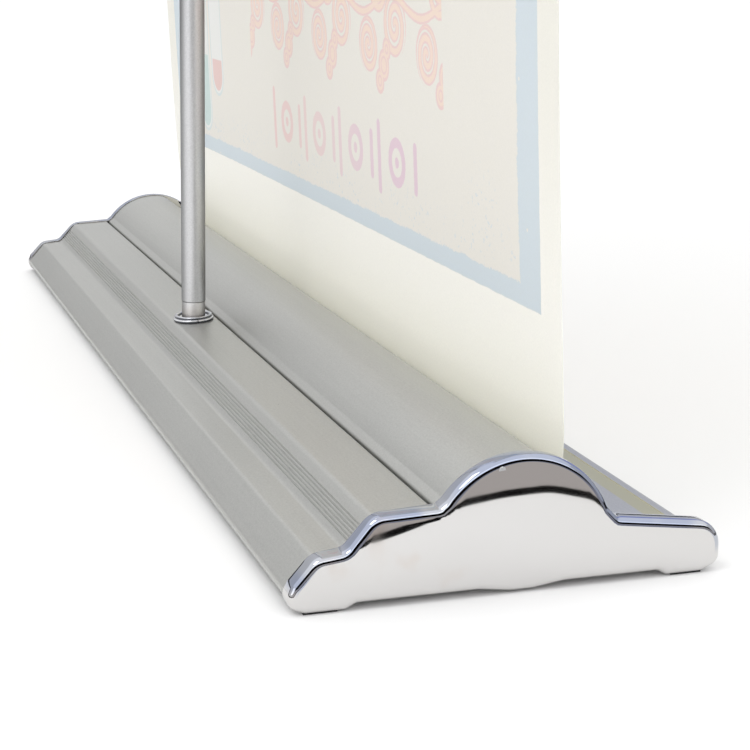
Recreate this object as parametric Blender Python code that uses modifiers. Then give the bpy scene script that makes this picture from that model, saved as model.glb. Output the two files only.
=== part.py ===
"""Roll-up banner stand: wide aluminium base, spring roller, take-apart pole and clamp rail.

Metres, +Z up. X runs along the base, -Y is the side that shows the graphic, and the origin
is under the middle of the base. A section is drawn in Y and Z from the rear to the front, so
that its left side is always the inside of the wall.
"""
import math

import bmesh
import bpy
from mathutils import Matrix, Vector

MM = 0.001

# Driving dimensions: graphic
FILM_WIDTH = 850 * MM
FILM_VISIBLE = 2000 * MM
FILM_THICK = 0.4 * MM
FILM_MARGIN = 12 * MM
FILM_TAIL = 42 * MM

# Driving dimensions: base section
WALL = 1.6 * MM
HUMP_RADIUS = 48.8 * MM
SHOULDER_ANGLES = (98, 118)      # over these the sections drop inside the caps' line
FRONT_INSET = 4.3 * MM          # and stay this far inside it down to the front
HUMP_Y = -5.6 * MM
HUMP_Z = 20.2 * MM
HUMP_REAR_ANGLE = 36.0
HUMP_FRONT_ANGLE = 158.0
HUMP_REAR_FLARE = 4.1 * MM
HUMP_FRONT_FLARE = 2.2 * MM
SLOT_ANGLE = 127.0
REAR_DECK_Z = 45.6 * MM
REAR_DECK_FALL = 1.7 * MM
REAR_DECK_DEPTH = 31.5 * MM
SLOPE_RUN = 13.9 * MM
STEP_Z = 28.0 * MM
STEP_RUN = 15.6 * MM
STEP_FALL = 1.8 * MM
REAR_FACE_RUN = 15.0 * MM
REAR_LIP_Z = 9.2 * MM
FRONT_DECK_Z = 32.4 * MM
FRONT_DECK_DEPTH = 57.4 * MM
FRONT_DECK_FALL = 7.5 * MM
FRONT_LIP_Z = 8.0 * MM
FRONT_NOSE = 0.5 * MM
FRONT_BAND = (33.9 * MM, 46.9 * MM)
BAND_RECESS = 0.4 * MM
TUCK = 4.0 * MM
FLANGE = 14.0 * MM
UNDERSIDE_Z = 4.8 * MM
SEAM = 1.2 * MM
RIB_COUNT = 6
RIB_PITCH = 1.85 * MM
RIB_DEPTH = 0.5 * MM
RIBS_UP_SLOPE = 0.44
WEB_INSET = 1.0 * MM
LIP_BEAD = 1.5 * MM
SLOT_GAP = 0.8 * MM
PORT_OUTER = 3.0 * MM
PORT_BORE = 1.7 * MM
PORT_BLEND = 0.6 * MM

# Driving dimensions: base ends, floor and feet
CAP_LIP = 1.2 * MM
CAP_DEPTH = 11.5 * MM
CAP_FACE = 2.2 * MM
CAP_ROUND = 3.6 * MM
CAP_FLOOR_Z = 0.5 * MM
CAP_BUMP = 17.0 * MM
CAP_SKIRT = 12.0 * MM
PLATE_THICK = 3.0 * MM
FLOOR_THICK = 1.5 * MM
PAD_SIZE = (7.0 * MM, 17.0 * MM, 1.6 * MM)
PAD_INSET = 13.2 * MM
FLOOR_SCREW_X = 0.34 * FILM_WIDTH
FIT = 0.3 * MM
SCREW_SHANK = 1.4 * MM
SCREW_HEAD = 2.6 * MM
SCREW_HEAD_THICK = 1.6 * MM
SCREW_LENGTH = 12.0 * MM
FLOOR_SCREW_LENGTH = 6.5 * MM

# Driving dimensions: roller
ROLLER_RADIUS = 17.0 * MM
ROLLER_WALL = 1.6 * MM
ROLLER_CLEAR = 2.8 * MM
WRAP_THICK = 0.7 * MM
ROLLER_END_GAP = 9.0 * MM
MANDREL_RADIUS = 5.0 * MM
MANDREL_LENGTH = 300 * MM
MANDREL_SQUARE = 8.0 * MM
IDLER_RADIUS = 4.0 * MM
PLUG_DEPTH = 22 * MM
PLUG_RIM = 3.0 * MM
PIN_FLANGE = 2.0 * MM
SPRING_RADIUS = 8.0 * MM
SPRING_WIRE = 0.9 * MM
SPRING_TURNS = 10

# Driving dimensions: pole
POLE_RADIUS = 8.5 * MM
POLE_WALL = 0.9 * MM
FERRULE_RADIUS = POLE_RADIUS - 0.2 * MM
FERRULE_SHOWN = 13.0 * MM
TOP_POLE_RADIUS = POLE_RADIUS - POLE_WALL - 1.2 * MM
TOP_POLE_WALL = 0.8 * MM
POLE_BEHIND_SEAM = 17.0 * MM
LOWER_POLE = 690 * MM
POLE_TRAVEL = 500 * MM
POLE_OVERLAP = 90 * MM
POLE_SPARE = 25 * MM
PLUG_IN = 45 * MM
MIDDLE_POLE = POLE_TRAVEL + POLE_OVERLAP + PLUG_IN + POLE_SPARE
SOCKET_FLOOR = 4.0 * MM
SOCKET_SCREW_X = FERRULE_RADIUS + 7.2 * MM
SOCKET_SIZE = (2 * SOCKET_SCREW_X + 13.0 * MM, 2 * FERRULE_RADIUS + 8.4 * MM)
RING_RADIUS = POLE_RADIUS + 5.7 * MM
RING_HEIGHT = 4.0 * MM
RING_STEP = 0.9 * MM
RING_FLARE = 2.3 * MM
COLLAR_RADIUS = POLE_RADIUS + 2.5 * MM
COLLAR_HEIGHT = 30 * MM
CORD_RADIUS = 2.0 * MM

# Driving dimensions: top rail
RAIL_OVERHANG = 5.0 * MM
RAIL_HEIGHT = 34 * MM
RAIL_WALL = 1.8 * MM
JAW_WALL = 1.5 * MM
BEAD_RADIUS = 1.8 * MM
SEAT_WALL = 1.5 * MM
SEAT_REAR_ANGLE = -72.0
SEAT_FRONT_ANGLE = 125.0
JAW_BELLY = 6.0 * MM
HOOK_REACH = 22.5 * MM
HOOK_LIP = 3.0 * MM
HOOK_RISE = 14.0 * MM
HOOK_WIDTH = 24 * MM
HOOK_DEPTH = 5.7 * MM
HOOK_ARM = 6.5 * MM
HEAD_BELOW_RAIL = 12 * MM
HEAD_REACH = 16 * MM
RAIL_CAP = 2.4 * MM
HEAD_RADIUS = TOP_POLE_RADIUS + 2.0 * MM

SMOOTH_ANGLE = math.radians(38)
MERGE = 0.00002
ROUND = 24
FINE_ROUND = 10
SCREW_ROUND = 8

# X, Y, Z of an outline drawn in (Y, Z) and pulled along its own third axis
SECTION_TO_WORLD = Matrix(((0, 0, 1, 0), (1, 0, 0, 0), (0, 1, 0, 0), (0, 0, 0, 1)))


# ---- outlines -------------------------------------------------------------------------------

def unit(a, b):
    """Direction from a to b."""
    run = math.hypot(b[0] - a[0], b[1] - a[1])
    return ((b[0] - a[0]) / run, (b[1] - a[1]) / run)


def arc(centre, radius, start, end, steps):
    """Points along an arc, angles in degrees from +Y towards +Z."""
    points = []
    for i in range(steps + 1):
        angle = math.radians(start + (end - start) * i / steps)
        points.append((centre[0] + radius * math.cos(angle), centre[1] + radius * math.sin(angle)))
    return points


def rounded(corners, steps=3):
    """Polyline through corners (y, z, radius), each turned with its own radius."""
    points = []
    for i, (y, z, radius) in enumerate(corners):
        if radius == 0 or i in (0, len(corners) - 1):
            points.append((y, z))
            continue
        before = unit(corners[i - 1], (y, z))
        after = unit((y, z), corners[i + 1])
        turn = math.atan2(before[0] * after[1] - before[1] * after[0],
                          before[0] * after[0] + before[1] * after[1])
        reach = radius * math.tan(abs(turn) / 2)
        side = math.copysign(1, turn)
        start = (y - before[0] * reach, z - before[1] * reach)
        centre = (start[0] - before[1] * radius * side, start[1] + before[0] * radius * side)
        first = math.degrees(math.atan2(start[1] - centre[1], start[0] - centre[0]))
        points += arc(centre, radius, first, first + math.degrees(turn), steps)
    return points


def shifted(path, distance):
    """The polyline moved to its left by distance, with mitred corners."""
    moved = []
    for i, (y, z) in enumerate(path):
        before = unit(path[max(i - 1, 0)], path[max(i, 1)])
        after = unit(path[min(i, len(path) - 2)], path[min(i + 1, len(path) - 1)])
        stretch = distance / (1 + before[0] * after[0] + before[1] * after[1])
        moved.append((y - (before[1] + after[1]) * stretch, z + (before[0] + after[0]) * stretch))
    return moved


def walled(path, wall):
    """Closed outline of a wall whose outer side is the path."""
    return path + shifted(path, wall)[::-1]


# ---- base section ---------------------------------------------------------------------------

HUMP = (HUMP_Y, HUMP_Z)
SEAM_Y = HUMP_Y + HUMP_RADIUS * math.cos(math.radians(HUMP_REAR_ANGLE)) + HUMP_REAR_FLARE
REAR_TOP_Y = SEAM_Y + SEAM
SLOPE_TOP = (REAR_TOP_Y + REAR_DECK_DEPTH, REAR_DECK_Z - REAR_DECK_FALL)
SLOPE_FOOT = (SLOPE_TOP[0] + SLOPE_RUN, STEP_Z)
FACE_TOP = (SLOPE_FOOT[0] + STEP_RUN, STEP_Z - STEP_FALL)
REAR_LIP = (FACE_TOP[0] + REAR_FACE_RUN, REAR_LIP_Z)
REAR_TUCK = (REAR_LIP[0] - TUCK, UNDERSIDE_Z)
DECK_START = (HUMP_Y - HUMP_RADIUS - HUMP_FRONT_FLARE, FRONT_DECK_Z)
DECK_END = (DECK_START[0] - FRONT_DECK_DEPTH, FRONT_DECK_Z - FRONT_DECK_FALL)
FRONT_LIP = (DECK_END[0] - FRONT_NOSE, FRONT_LIP_Z)
FRONT_TUCK = (FRONT_LIP[0] + TUCK, UNDERSIDE_Z)
FLOOR_Z = UNDERSIDE_Z + WALL + FIT
WEB_FOOT_Z = FLOOR_Z + FLOOR_THICK + FIT

# the film leaves the hump here and leans back to the rail
SLOT_Y = HUMP_Y + HUMP_RADIUS * math.cos(math.radians(SLOT_ANGLE))
SLOT_Z = HUMP_Z + HUMP_RADIUS * math.sin(math.radians(SLOT_ANGLE))
POLE_Y = REAR_TOP_Y + POLE_BEHIND_SEAM
RAIL_Z = SLOT_Z + FILM_VISIBLE
RAIL_Y = POLE_Y - HOOK_REACH
LEAN = math.atan2(RAIL_Y - SLOT_Y, RAIL_Z - SLOT_Z)

# lengths along X, from the middle
CAP_EDGE_X = FILM_WIDTH / 2 + FILM_MARGIN
CAP_FACE_X = CAP_EDGE_X + CAP_DEPTH
CAP_INNER_X = CAP_FACE_X - CAP_FACE
PLATE_OUTER_X = CAP_INNER_X - FIT - SCREW_HEAD_THICK - FIT
PLATE_INNER_X = PLATE_OUTER_X - PLATE_THICK
SECTION_X = PLATE_INNER_X - FIT


def film_y(z):
    """Where the film's middle plane is at height z."""
    return SLOT_Y + (z - SLOT_Z) * math.tan(LEAN)


WRAP_RADIUS = ROLLER_RADIUS + FIT + WRAP_THICK
ROLLER_Z = FLOOR_Z + FLOOR_THICK + ROLLER_CLEAR + WRAP_RADIUS
ROLLER_Y = film_y(ROLLER_Z) + (WRAP_RADIUS + FIT + FILM_THICK / 2) / math.cos(LEAN)


LIP_REACH = HUMP_RADIUS - FRONT_INSET - LIP_BEAD


def lip_angle(side):
    """Angle on the hump of the slot's bead behind the film (1) or in front of it (-1)."""
    y = SLOT_Y + side * (LIP_BEAD + SLOT_GAP + FILM_THICK / 2)
    return math.degrees(math.acos((y - HUMP_Y) / LIP_REACH))


def rear_deck_path():
    return rounded([(REAR_TUCK[0] - FLANGE, UNDERSIDE_Z, 0),
                    (*REAR_TUCK, 3.0 * MM),
                    (*REAR_LIP, 4.0 * MM),
                    (*FACE_TOP, 4.0 * MM),
                    (*SLOPE_FOOT, 4.0 * MM),
                    (*SLOPE_TOP, 5.0 * MM),
                    (REAR_TOP_Y, REAR_DECK_Z, 2.0 * MM),
                    (REAR_TOP_Y, WEB_FOOT_Z, 0)])


def hump_radius(degrees, inset):
    first, last = SHOULDER_ANGLES
    share = min(1, max(0, (degrees - first) / (last - first)))
    return HUMP_RADIUS - inset * share * share * (3 - 2 * share)


def hump_arc(start, end, steps, inset=0):
    """Corners along the hump, inset inside it past its shoulder."""
    corners = []
    for i in range(steps + 1):
        degrees = start + (end - start) * i / steps
        radius, angle = hump_radius(degrees, inset), math.radians(degrees)
        corners.append((HUMP_Y + radius * math.cos(angle), HUMP_Z + radius * math.sin(angle), 0))
    return corners


def cover_path():
    hump = hump_arc(HUMP_REAR_ANGLE, lip_angle(1), 24, FRONT_INSET)
    hump[0] = (hump[0][0], hump[0][1], 4.0 * MM)
    return rounded([(SEAM_Y, WEB_FOOT_Z, 0), (SEAM_Y, REAR_DECK_Z, 2.0 * MM)] + hump)


def front_points(inset):
    """Where the deck starts and ends, its front lip and its tuck."""
    return [(DECK_START[0] + inset, DECK_START[1] - inset), (DECK_END[0] + inset, DECK_END[1] - inset),
            (FRONT_LIP[0] + inset, FRONT_LIP[1]), (FRONT_TUCK[0] + inset, FRONT_TUCK[1])]


def front_corners(with_band, inset=0):
    """Corners of the front deck and nose; the band is a shallow recess along the deck."""
    fall = FRONT_DECK_FALL / FRONT_DECK_DEPTH
    start, end, lip, tuck = front_points(inset)
    corners = [(*start, 4.0 * MM)]
    if with_band:
        for across, depth in ((FRONT_BAND[0], 0), (FRONT_BAND[0] + BAND_RECESS, BAND_RECESS),
                              (FRONT_BAND[1] - BAND_RECESS, BAND_RECESS), (FRONT_BAND[1], 0)):
            corners.append((start[0] - across, start[1] - across * fall - depth, 0))
    return corners + [(*end, 12.0 * MM - inset), (*lip, 4.5 * MM), (*tuck, 3.0 * MM)]


def front_deck_path():
    hump = hump_arc(lip_angle(-1), HUMP_FRONT_ANGLE, 5, FRONT_INSET)
    hump[-1] = (hump[-1][0], hump[-1][1], 5.0 * MM)
    flange = (FRONT_TUCK[0] + FRONT_INSET + FLANGE, UNDERSIDE_Z, 0)
    return rounded(hump + front_corners(True, FRONT_INSET) + [flange])


def skyline(start, end, inset=0):
    """The whole base's outer line from the rear corner to the front one."""
    hump = hump_arc(HUMP_REAR_ANGLE, HUMP_FRONT_ANGLE, 24, inset)
    hump[0] = (hump[0][0], hump[0][1], 4.0 * MM)
    hump[-1] = (hump[-1][0], hump[-1][1], 5.0 * MM)
    corners = [start, (*REAR_LIP, 4.0 * MM), (*FACE_TOP, 4.0 * MM), (*SLOPE_FOOT, 4.0 * MM),
               (*SLOPE_TOP, 5.0 * MM), (SEAM_Y, REAR_DECK_Z, 2.0 * MM)] + hump
    return rounded(corners + front_corners(False, inset)[:-1] + [end])


def deck_height(y):
    """Height of the rear deck's top face."""
    return REAR_DECK_Z - REAR_DECK_FALL * (y - REAR_TOP_Y) / REAR_DECK_DEPTH


def port_inside(point, inward):
    """Middle of a screw port that blends into the wall behind a point of the outer face."""
    inset = WALL + PORT_OUTER - PORT_BLEND
    return (point[0] + inward[0] * inset, point[1] + inward[1] * inset)


def port_on_line(a, b, share):
    """Port behind the straight wall from a to b, both listed rear to front."""
    along = unit(a, b)
    point = (a[0] + (b[0] - a[0]) * share, a[1] + (b[1] - a[1]) * share)
    return port_inside(point, (-along[1], along[0]))


def port_on_hump(degrees):
    radius, angle = hump_radius(degrees, FRONT_INSET), math.radians(degrees)
    point = (HUMP_Y + radius * math.cos(angle), HUMP_Z + radius * math.sin(angle))
    return port_inside(point, (-math.cos(angle), -math.sin(angle)))


PORTS = {
    "rear_deck": [port_on_line(REAR_LIP, FACE_TOP, 0.5),
                  port_on_line(SLOPE_TOP, (REAR_TOP_Y, REAR_DECK_Z), 0.9)],
    "roller_cover": [port_on_line((SEAM_Y, WEB_FOOT_Z), (SEAM_Y, REAR_DECK_Z), 0.3),
                     port_on_hump(74)],
    "front_deck": [port_on_hump(149), port_on_line(*front_points(FRONT_INSET)[:2], 0.72)],
}


# ---- solids ---------------------------------------------------------------------------------

parts = bpy.data.collections.new("roll_up_banner_stand")
cutters = bpy.data.collections.new("cutters")


def clear_scene():
    for item in list(bpy.data.objects):
        bpy.data.objects.remove(item, do_unlink=True)
    bpy.context.scene.collection.children.link(parts)
    bpy.context.scene.collection.children.link(cutters)


def material(name, colour, metallic, roughness):
    made = bpy.data.materials.new(name)
    made.use_nodes = True
    shader = made.node_tree.nodes["Principled BSDF"]
    shader.inputs["Base Color"].default_value = (*colour, 1)
    shader.inputs["Metallic"].default_value = metallic
    shader.inputs["Roughness"].default_value = roughness
    return made


LOOKS = {
    "anodised": ((0.62, 0.62, 0.60), 1.0, 0.42),
    "chrome": ((0.85, 0.86, 0.88), 1.0, 0.06),
    "steel": ((0.55, 0.56, 0.58), 1.0, 0.30),
    "film": ((0.90, 0.88, 0.76), 0.0, 0.45),
    "black_plastic": ((0.03, 0.03, 0.03), 0.0, 0.45),
    "grey_plastic": ((0.34, 0.35, 0.37), 0.0, 0.40),
    "rubber": ((0.02, 0.02, 0.02), 0.0, 0.85),
    "cord": ((0.05, 0.05, 0.06), 0.0, 0.90),
}


def finish(obj, look, smooth=True):
    """Put a shape into the model with its own material."""
    obj.data.materials.clear()
    obj.data.materials.append(material(obj.name + "_look", *LOOKS[look]))
    if smooth:
        obj.data.shade_smooth()
        obj.data.set_sharp_from_angle(angle=SMOOTH_ANGLE)
    for collection in list(obj.users_collection):
        collection.objects.unlink(obj)
    parts.objects.link(obj)
    return obj


def as_cutter(obj):
    obj.hide_render = True
    obj.display_type = "WIRE"
    for collection in list(obj.users_collection):
        collection.objects.unlink(obj)
    cutters.objects.link(obj)
    return obj


def combine(obj, other, operation):
    """Cut from obj, or join to it, the other shape."""
    step = obj.modifiers.new(operation.lower() + "_" + other.name, "BOOLEAN")
    step.operation = operation
    step.solver = "EXACT"
    step.object = as_cutter(other)
    return obj


def solid_mesh(name, curve):
    """A filled curve as a mesh with its caps welded on."""
    guide = bpy.data.objects.new(name, curve)
    bpy.context.scene.collection.objects.link(guide)
    bpy.context.view_layer.update()
    seen = guide.evaluated_get(bpy.context.evaluated_depsgraph_get())
    mesh = bpy.data.meshes.new_from_object(seen)
    bpy.data.objects.remove(guide)
    body = bmesh.new()
    body.from_mesh(mesh)
    bmesh.ops.remove_doubles(body, verts=body.verts, dist=MERGE)
    bmesh.ops.recalc_face_normals(body, faces=body.faces)
    body.to_mesh(mesh)
    body.free()
    return mesh


def prism(name, outlines, start, end, rounding=0.0, place=SECTION_TO_WORLD):
    """Closed (Y, Z) outlines pulled along X; place turns them to another direction."""
    curve = bpy.data.curves.new(name, "CURVE")
    curve.dimensions = "2D"
    curve.fill_mode = "BOTH"
    curve.extrude = (end - start) / 2 - rounding
    curve.bevel_depth = rounding
    curve.offset = -rounding
    curve.bevel_resolution = 1
    for outline in outlines:
        spline = curve.splines.new("POLY")
        spline.points.add(len(outline) - 1)
        for point, (across, up) in zip(spline.points, outline):
            point.co = (across, up, 0, 1)
        spline.use_cyclic_u = True
    mesh = solid_mesh(name, curve)
    mesh.transform(place @ Matrix.Translation((0, 0, (start + end) / 2)))
    return bpy.data.objects.new(name, mesh)


def turned(name, profile, steps=ROUND, closed=False, axis="Z"):
    """Profile of (radius, height) from the top down the outer side, spun about its axis."""
    mesh = bpy.data.meshes.new(name)
    edges = [(i, i + 1) for i in range(len(profile) - 1)]
    if closed:
        edges.append((len(profile) - 1, 0))
    mesh.from_pydata([(radius, 0, height) for radius, height in profile], edges, [])
    obj = bpy.data.objects.new(name, mesh)
    spin = obj.modifiers.new("spin", "SCREW")
    spin.steps = steps
    spin.render_steps = steps
    spin.use_merge_vertices = True
    spin.merge_threshold = MERGE
    spin.use_smooth_shade = True
    if axis == "X":
        obj.rotation_euler = (0, math.radians(90), 0)
    if axis == "-X":
        obj.rotation_euler = (0, math.radians(-90), 0)
    return obj


def rod(radius, top, bottom):
    return [(0, top), (radius, top), (radius, bottom), (0, bottom)]


def pipe(outer, inner, top, bottom):
    return [(outer, top), (outer, bottom), (inner, bottom), (inner, top)]


def tube(name, outer, inner, top, bottom, steps=ROUND, axis="Z"):
    return turned(name, pipe(outer, inner, top, bottom), steps, True, axis)


def box(name, low, high):
    body = bmesh.new()
    bmesh.ops.create_cube(body, size=1)
    size = Vector(high) - Vector(low)
    middle = (Vector(high) + Vector(low)) / 2
    bmesh.ops.scale(body, vec=size, verts=body.verts)
    bmesh.ops.translate(body, vec=middle, verts=body.verts)
    mesh = bpy.data.meshes.new(name)
    body.to_mesh(mesh)
    body.free()
    return bpy.data.objects.new(name, mesh)


def drills(name, places, radius, start, end, axis="X"):
    """Round cutters at (Y, Z) places along X, or at (X, Y) places along Z."""
    body = bmesh.new()
    segments = ROUND if radius > 3.1 * MM else FINE_ROUND
    for place in places:
        made = bmesh.ops.create_cone(body, cap_ends=True, segments=segments, radius1=radius,
                                     radius2=radius, depth=end - start)
        turn = Matrix.Rotation(math.radians(90), 4, "Y") if axis == "X" else Matrix()
        middle = (start + end) / 2
        shift = (middle, *place) if axis == "X" else (*place, middle)
        bmesh.ops.transform(body, matrix=Matrix.Translation(shift) @ turn, verts=made["verts"])
    mesh = bpy.data.meshes.new(name)
    body.to_mesh(mesh)
    body.free()
    return bpy.data.objects.new(name, mesh)


def screw_profile(head_up, length):
    """Pan head and shank; the head's underside is at height 0."""
    head = SCREW_HEAD_THICK
    profile = [(0, head), (SCREW_HEAD * 0.72, head), (SCREW_HEAD, head * 0.45), (SCREW_HEAD, 0),
               (SCREW_SHANK, 0), (SCREW_SHANK, -length), (0, -length)]
    if head_up:
        return profile
    return [(radius, -height) for radius, height in profile][::-1]


def screw(name, place, axis="Z", head_up=True, length=SCREW_LENGTH):
    obj = turned(name, screw_profile(head_up, length), SCREW_ROUND, False, axis)
    obj.location = place
    return finish(obj, "steel")


# ---- base -----------------------------------------------------------------------------------

def section_part(name, path):
    """A base section with its screw ports, drilled right through."""
    obj = prism(name, [walled(path, WALL)], -SECTION_X, SECTION_X)
    for i, port in enumerate(PORTS[name]):
        post = drills(f"{name}_port_{i}", [port], PORT_OUTER, -SECTION_X, SECTION_X)
        combine(obj, post, "UNION")
    bores = drills(name + "_bores", PORTS[name], PORT_BORE, -SECTION_X - MM, SECTION_X + MM)
    combine(obj, bores, "DIFFERENCE")
    return obj


def floor_screw_places(y):
    return [(side * FLOOR_SCREW_X, y) for side in (-1, 1)]


REAR_SCREW_Y = REAR_TUCK[0] - FLANGE / 2
FRONT_SCREW_Y = FRONT_TUCK[0] + FRONT_INSET + FLANGE / 2


def build_rear_deck():
    deck = section_part("rear_deck", rear_deck_path())
    rise = unit(SLOPE_FOOT, SLOPE_TOP)
    outward = (rise[1], -rise[0])
    length = math.hypot(SLOPE_TOP[0] - SLOPE_FOOT[0], SLOPE_TOP[1] - SLOPE_FOOT[1])
    for i in range(RIB_COUNT):
        along = RIBS_UP_SLOPE * length + (i - (RIB_COUNT - 1) / 2) * RIB_PITCH
        middle = (SLOPE_FOOT[0] + rise[0] * along, SLOPE_FOOT[1] + rise[1] * along)
        notch = [(middle[0] + rise[0] * share * RIB_DEPTH + outward[0] * out * RIB_DEPTH,
                  middle[1] + rise[1] * share * RIB_DEPTH + outward[1] * out * RIB_DEPTH)
                 for share, out in ((-1.3, 1), (1.3, 1), (0.35, -1), (-0.35, -1))]
        groove = prism(f"rib_groove_{i}", [notch], -SECTION_X - MM, SECTION_X + MM)
        combine(deck, groove, "DIFFERENCE")
    hole = drills("pole_hole", [(0, POLE_Y)], POLE_RADIUS + 2.4 * FIT,
                  PORTS["rear_deck"][1][1] - PORT_OUTER - MM, REAR_DECK_Z + MM, "Z")
    combine(deck, hole, "DIFFERENCE")
    holes = drills("rear_floor_holes", floor_screw_places(REAR_SCREW_Y), PORT_BORE,
                   UNDERSIDE_Z - MM, FLOOR_Z, "Z")
    combine(deck, holes, "DIFFERENCE")
    finish(deck, "anodised")


def lip_bead(name, degrees):
    """Round bead that lets the film pass the slot without an edge."""
    angle = math.radians(degrees)
    place = (HUMP_Y + LIP_REACH * math.cos(angle), HUMP_Z + LIP_REACH * math.sin(angle))
    return drills(name, [place], LIP_BEAD, -SECTION_X, SECTION_X)


def build_roller_cover():
    cover = section_part("roller_cover", cover_path())
    combine(cover, lip_bead("cover_bead", lip_angle(1)), "UNION")
    finish(cover, "anodised")


def build_front_deck():
    deck = section_part("front_deck", front_deck_path())
    combine(deck, lip_bead("front_bead", lip_angle(-1)), "UNION")
    start = front_points(FRONT_INSET)[0]
    web_y = start[0] - WEB_INSET
    web = box("front_web", (-SECTION_X, web_y, WEB_FOOT_Z),
              (SECTION_X, web_y + WALL, start[1] - WALL * 0.6))
    combine(deck, web, "UNION")
    holes = drills("front_floor_holes", floor_screw_places(FRONT_SCREW_Y), PORT_BORE,
                   UNDERSIDE_Z - MM, FLOOR_Z, "Z")
    combine(deck, holes, "DIFFERENCE")
    finish(deck, "anodised")


def build_floor():
    margin = WALL + TUCK
    plate = box("floor_plate", (-SECTION_X, FRONT_LIP[0] + FRONT_INSET + margin, FLOOR_Z),
                (SECTION_X, REAR_LIP[0] - margin, FLOOR_Z + FLOOR_THICK))
    places = floor_screw_places(REAR_SCREW_Y) + floor_screw_places(FRONT_SCREW_Y)
    places += [(side * SOCKET_SCREW_X, POLE_Y) for side in (-1, 1)]
    holes = drills("floor_holes", places, PORT_BORE, FLOOR_Z - MM, FLOOR_Z + FLOOR_THICK + MM, "Z")
    finish(combine(plate, holes, "DIFFERENCE"), "steel", False)
    names = ("rear_left", "rear_right", "front_left", "front_right")
    for name, (x, y) in zip(names, places):
        screw("floor_screw_" + name, (x, y, UNDERSIDE_Z - FIT), head_up=False,
              length=FLOOR_SCREW_LENGTH)


def build_socket():
    """Block under the rear deck that takes the pole's foot, and the ring on top of the deck."""
    low = WEB_FOOT_Z
    top = PORTS["rear_deck"][1][1] - PORT_OUTER - 2 * FIT
    width, depth = SOCKET_SIZE
    block = box("pole_socket", (-width / 2, POLE_Y - depth / 2, low),
                (width / 2, POLE_Y + depth / 2, top))
    bore = drills("socket_bore", [(0, POLE_Y)], FERRULE_RADIUS + 2 * FIT, low + SOCKET_FLOOR,
                  top + MM, "Z")
    combine(block, bore, "DIFFERENCE")
    places = [(side * SOCKET_SCREW_X, POLE_Y) for side in (-1, 1)]
    holes = drills("socket_holes", places, PORT_BORE, low - MM, low + SCREW_LENGTH, "Z")
    combine(block, holes, "DIFFERENCE")
    finish(block, "black_plastic", False)
    for name, (x, y) in zip(("left", "right"), places):
        screw("socket_screw_" + name, (x, y, FLOOR_Z - FIT), head_up=False)

    tier = RING_RADIUS - RING_STEP
    bore = POLE_RADIUS + 3 * FIT
    profile = [(tier, RING_HEIGHT), (tier, RING_HEIGHT * 0.55), (RING_RADIUS, RING_HEIGHT * 0.45),
               (RING_RADIUS, 0), (bore, 0), (bore, RING_HEIGHT * 0.3), (bore + RING_FLARE, RING_HEIGHT)]
    ring = turned("pole_ring", profile, 32, True)
    ring.location = (0, POLE_Y, deck_height(POLE_Y) + FIT)
    ring.rotation_euler = (-math.atan2(REAR_DECK_FALL, REAR_DECK_DEPTH), 0, 0)
    notch = box("ring_notch", (-RING_RADIUS - MM, -0.6 * MM, -MM),
                (-RING_RADIUS + 1.4 * MM, 0.6 * MM, RING_HEIGHT + MM))
    notch.location = ring.location
    notch.rotation_euler = ring.rotation_euler
    finish(combine(ring, notch, "DIFFERENCE"), "chrome")


def cap_outline():
    """Outer line of an end cap: the skyline plus the lip, run down past the floor."""
    start = (REAR_TUCK[0] - CAP_SKIRT / 2, -CAP_SKIRT, 0)
    end = (FRONT_TUCK[0] + CAP_SKIRT / 2, -CAP_SKIRT, 0)
    return shifted(skyline(start, end), -CAP_LIP)


def under_cut_outline():
    """What is cut away under a cap: two flat feet, a low arch and a shallow bump between them."""
    rear, front = REAR_TUCK[0], FRONT_TUCK[0]
    arch = UNDERSIDE_Z - CAP_LIP - FIT
    foot = CAP_FLOOR_Z
    bump = HUMP_Y
    line = [(rear + 60 * MM, foot, 0), (rear - 26 * MM, foot, 2 * MM), (rear - 31 * MM, arch, 2 * MM),
            (bump + CAP_BUMP * 1.35, arch, 9 * MM), (bump + CAP_BUMP * 0.35, foot + 0.5 * MM, 9 * MM),
            (bump - CAP_BUMP * 0.35, foot + 0.5 * MM, 9 * MM), (bump - CAP_BUMP * 1.35, arch, 9 * MM),
            (front + 30 * MM, arch, 2 * MM), (front + 25 * MM, foot, 2 * MM),
            (front - 60 * MM, foot, 0)]
    return rounded(line, 4) + [(front - 60 * MM, -30 * MM), (rear + 60 * MM, -30 * MM)]


def pad_places():
    """Middles of the two pads under a cap, rear then front."""
    return [REAR_TUCK[0] - PAD_INSET, FRONT_TUCK[0] + PAD_INSET]


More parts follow.
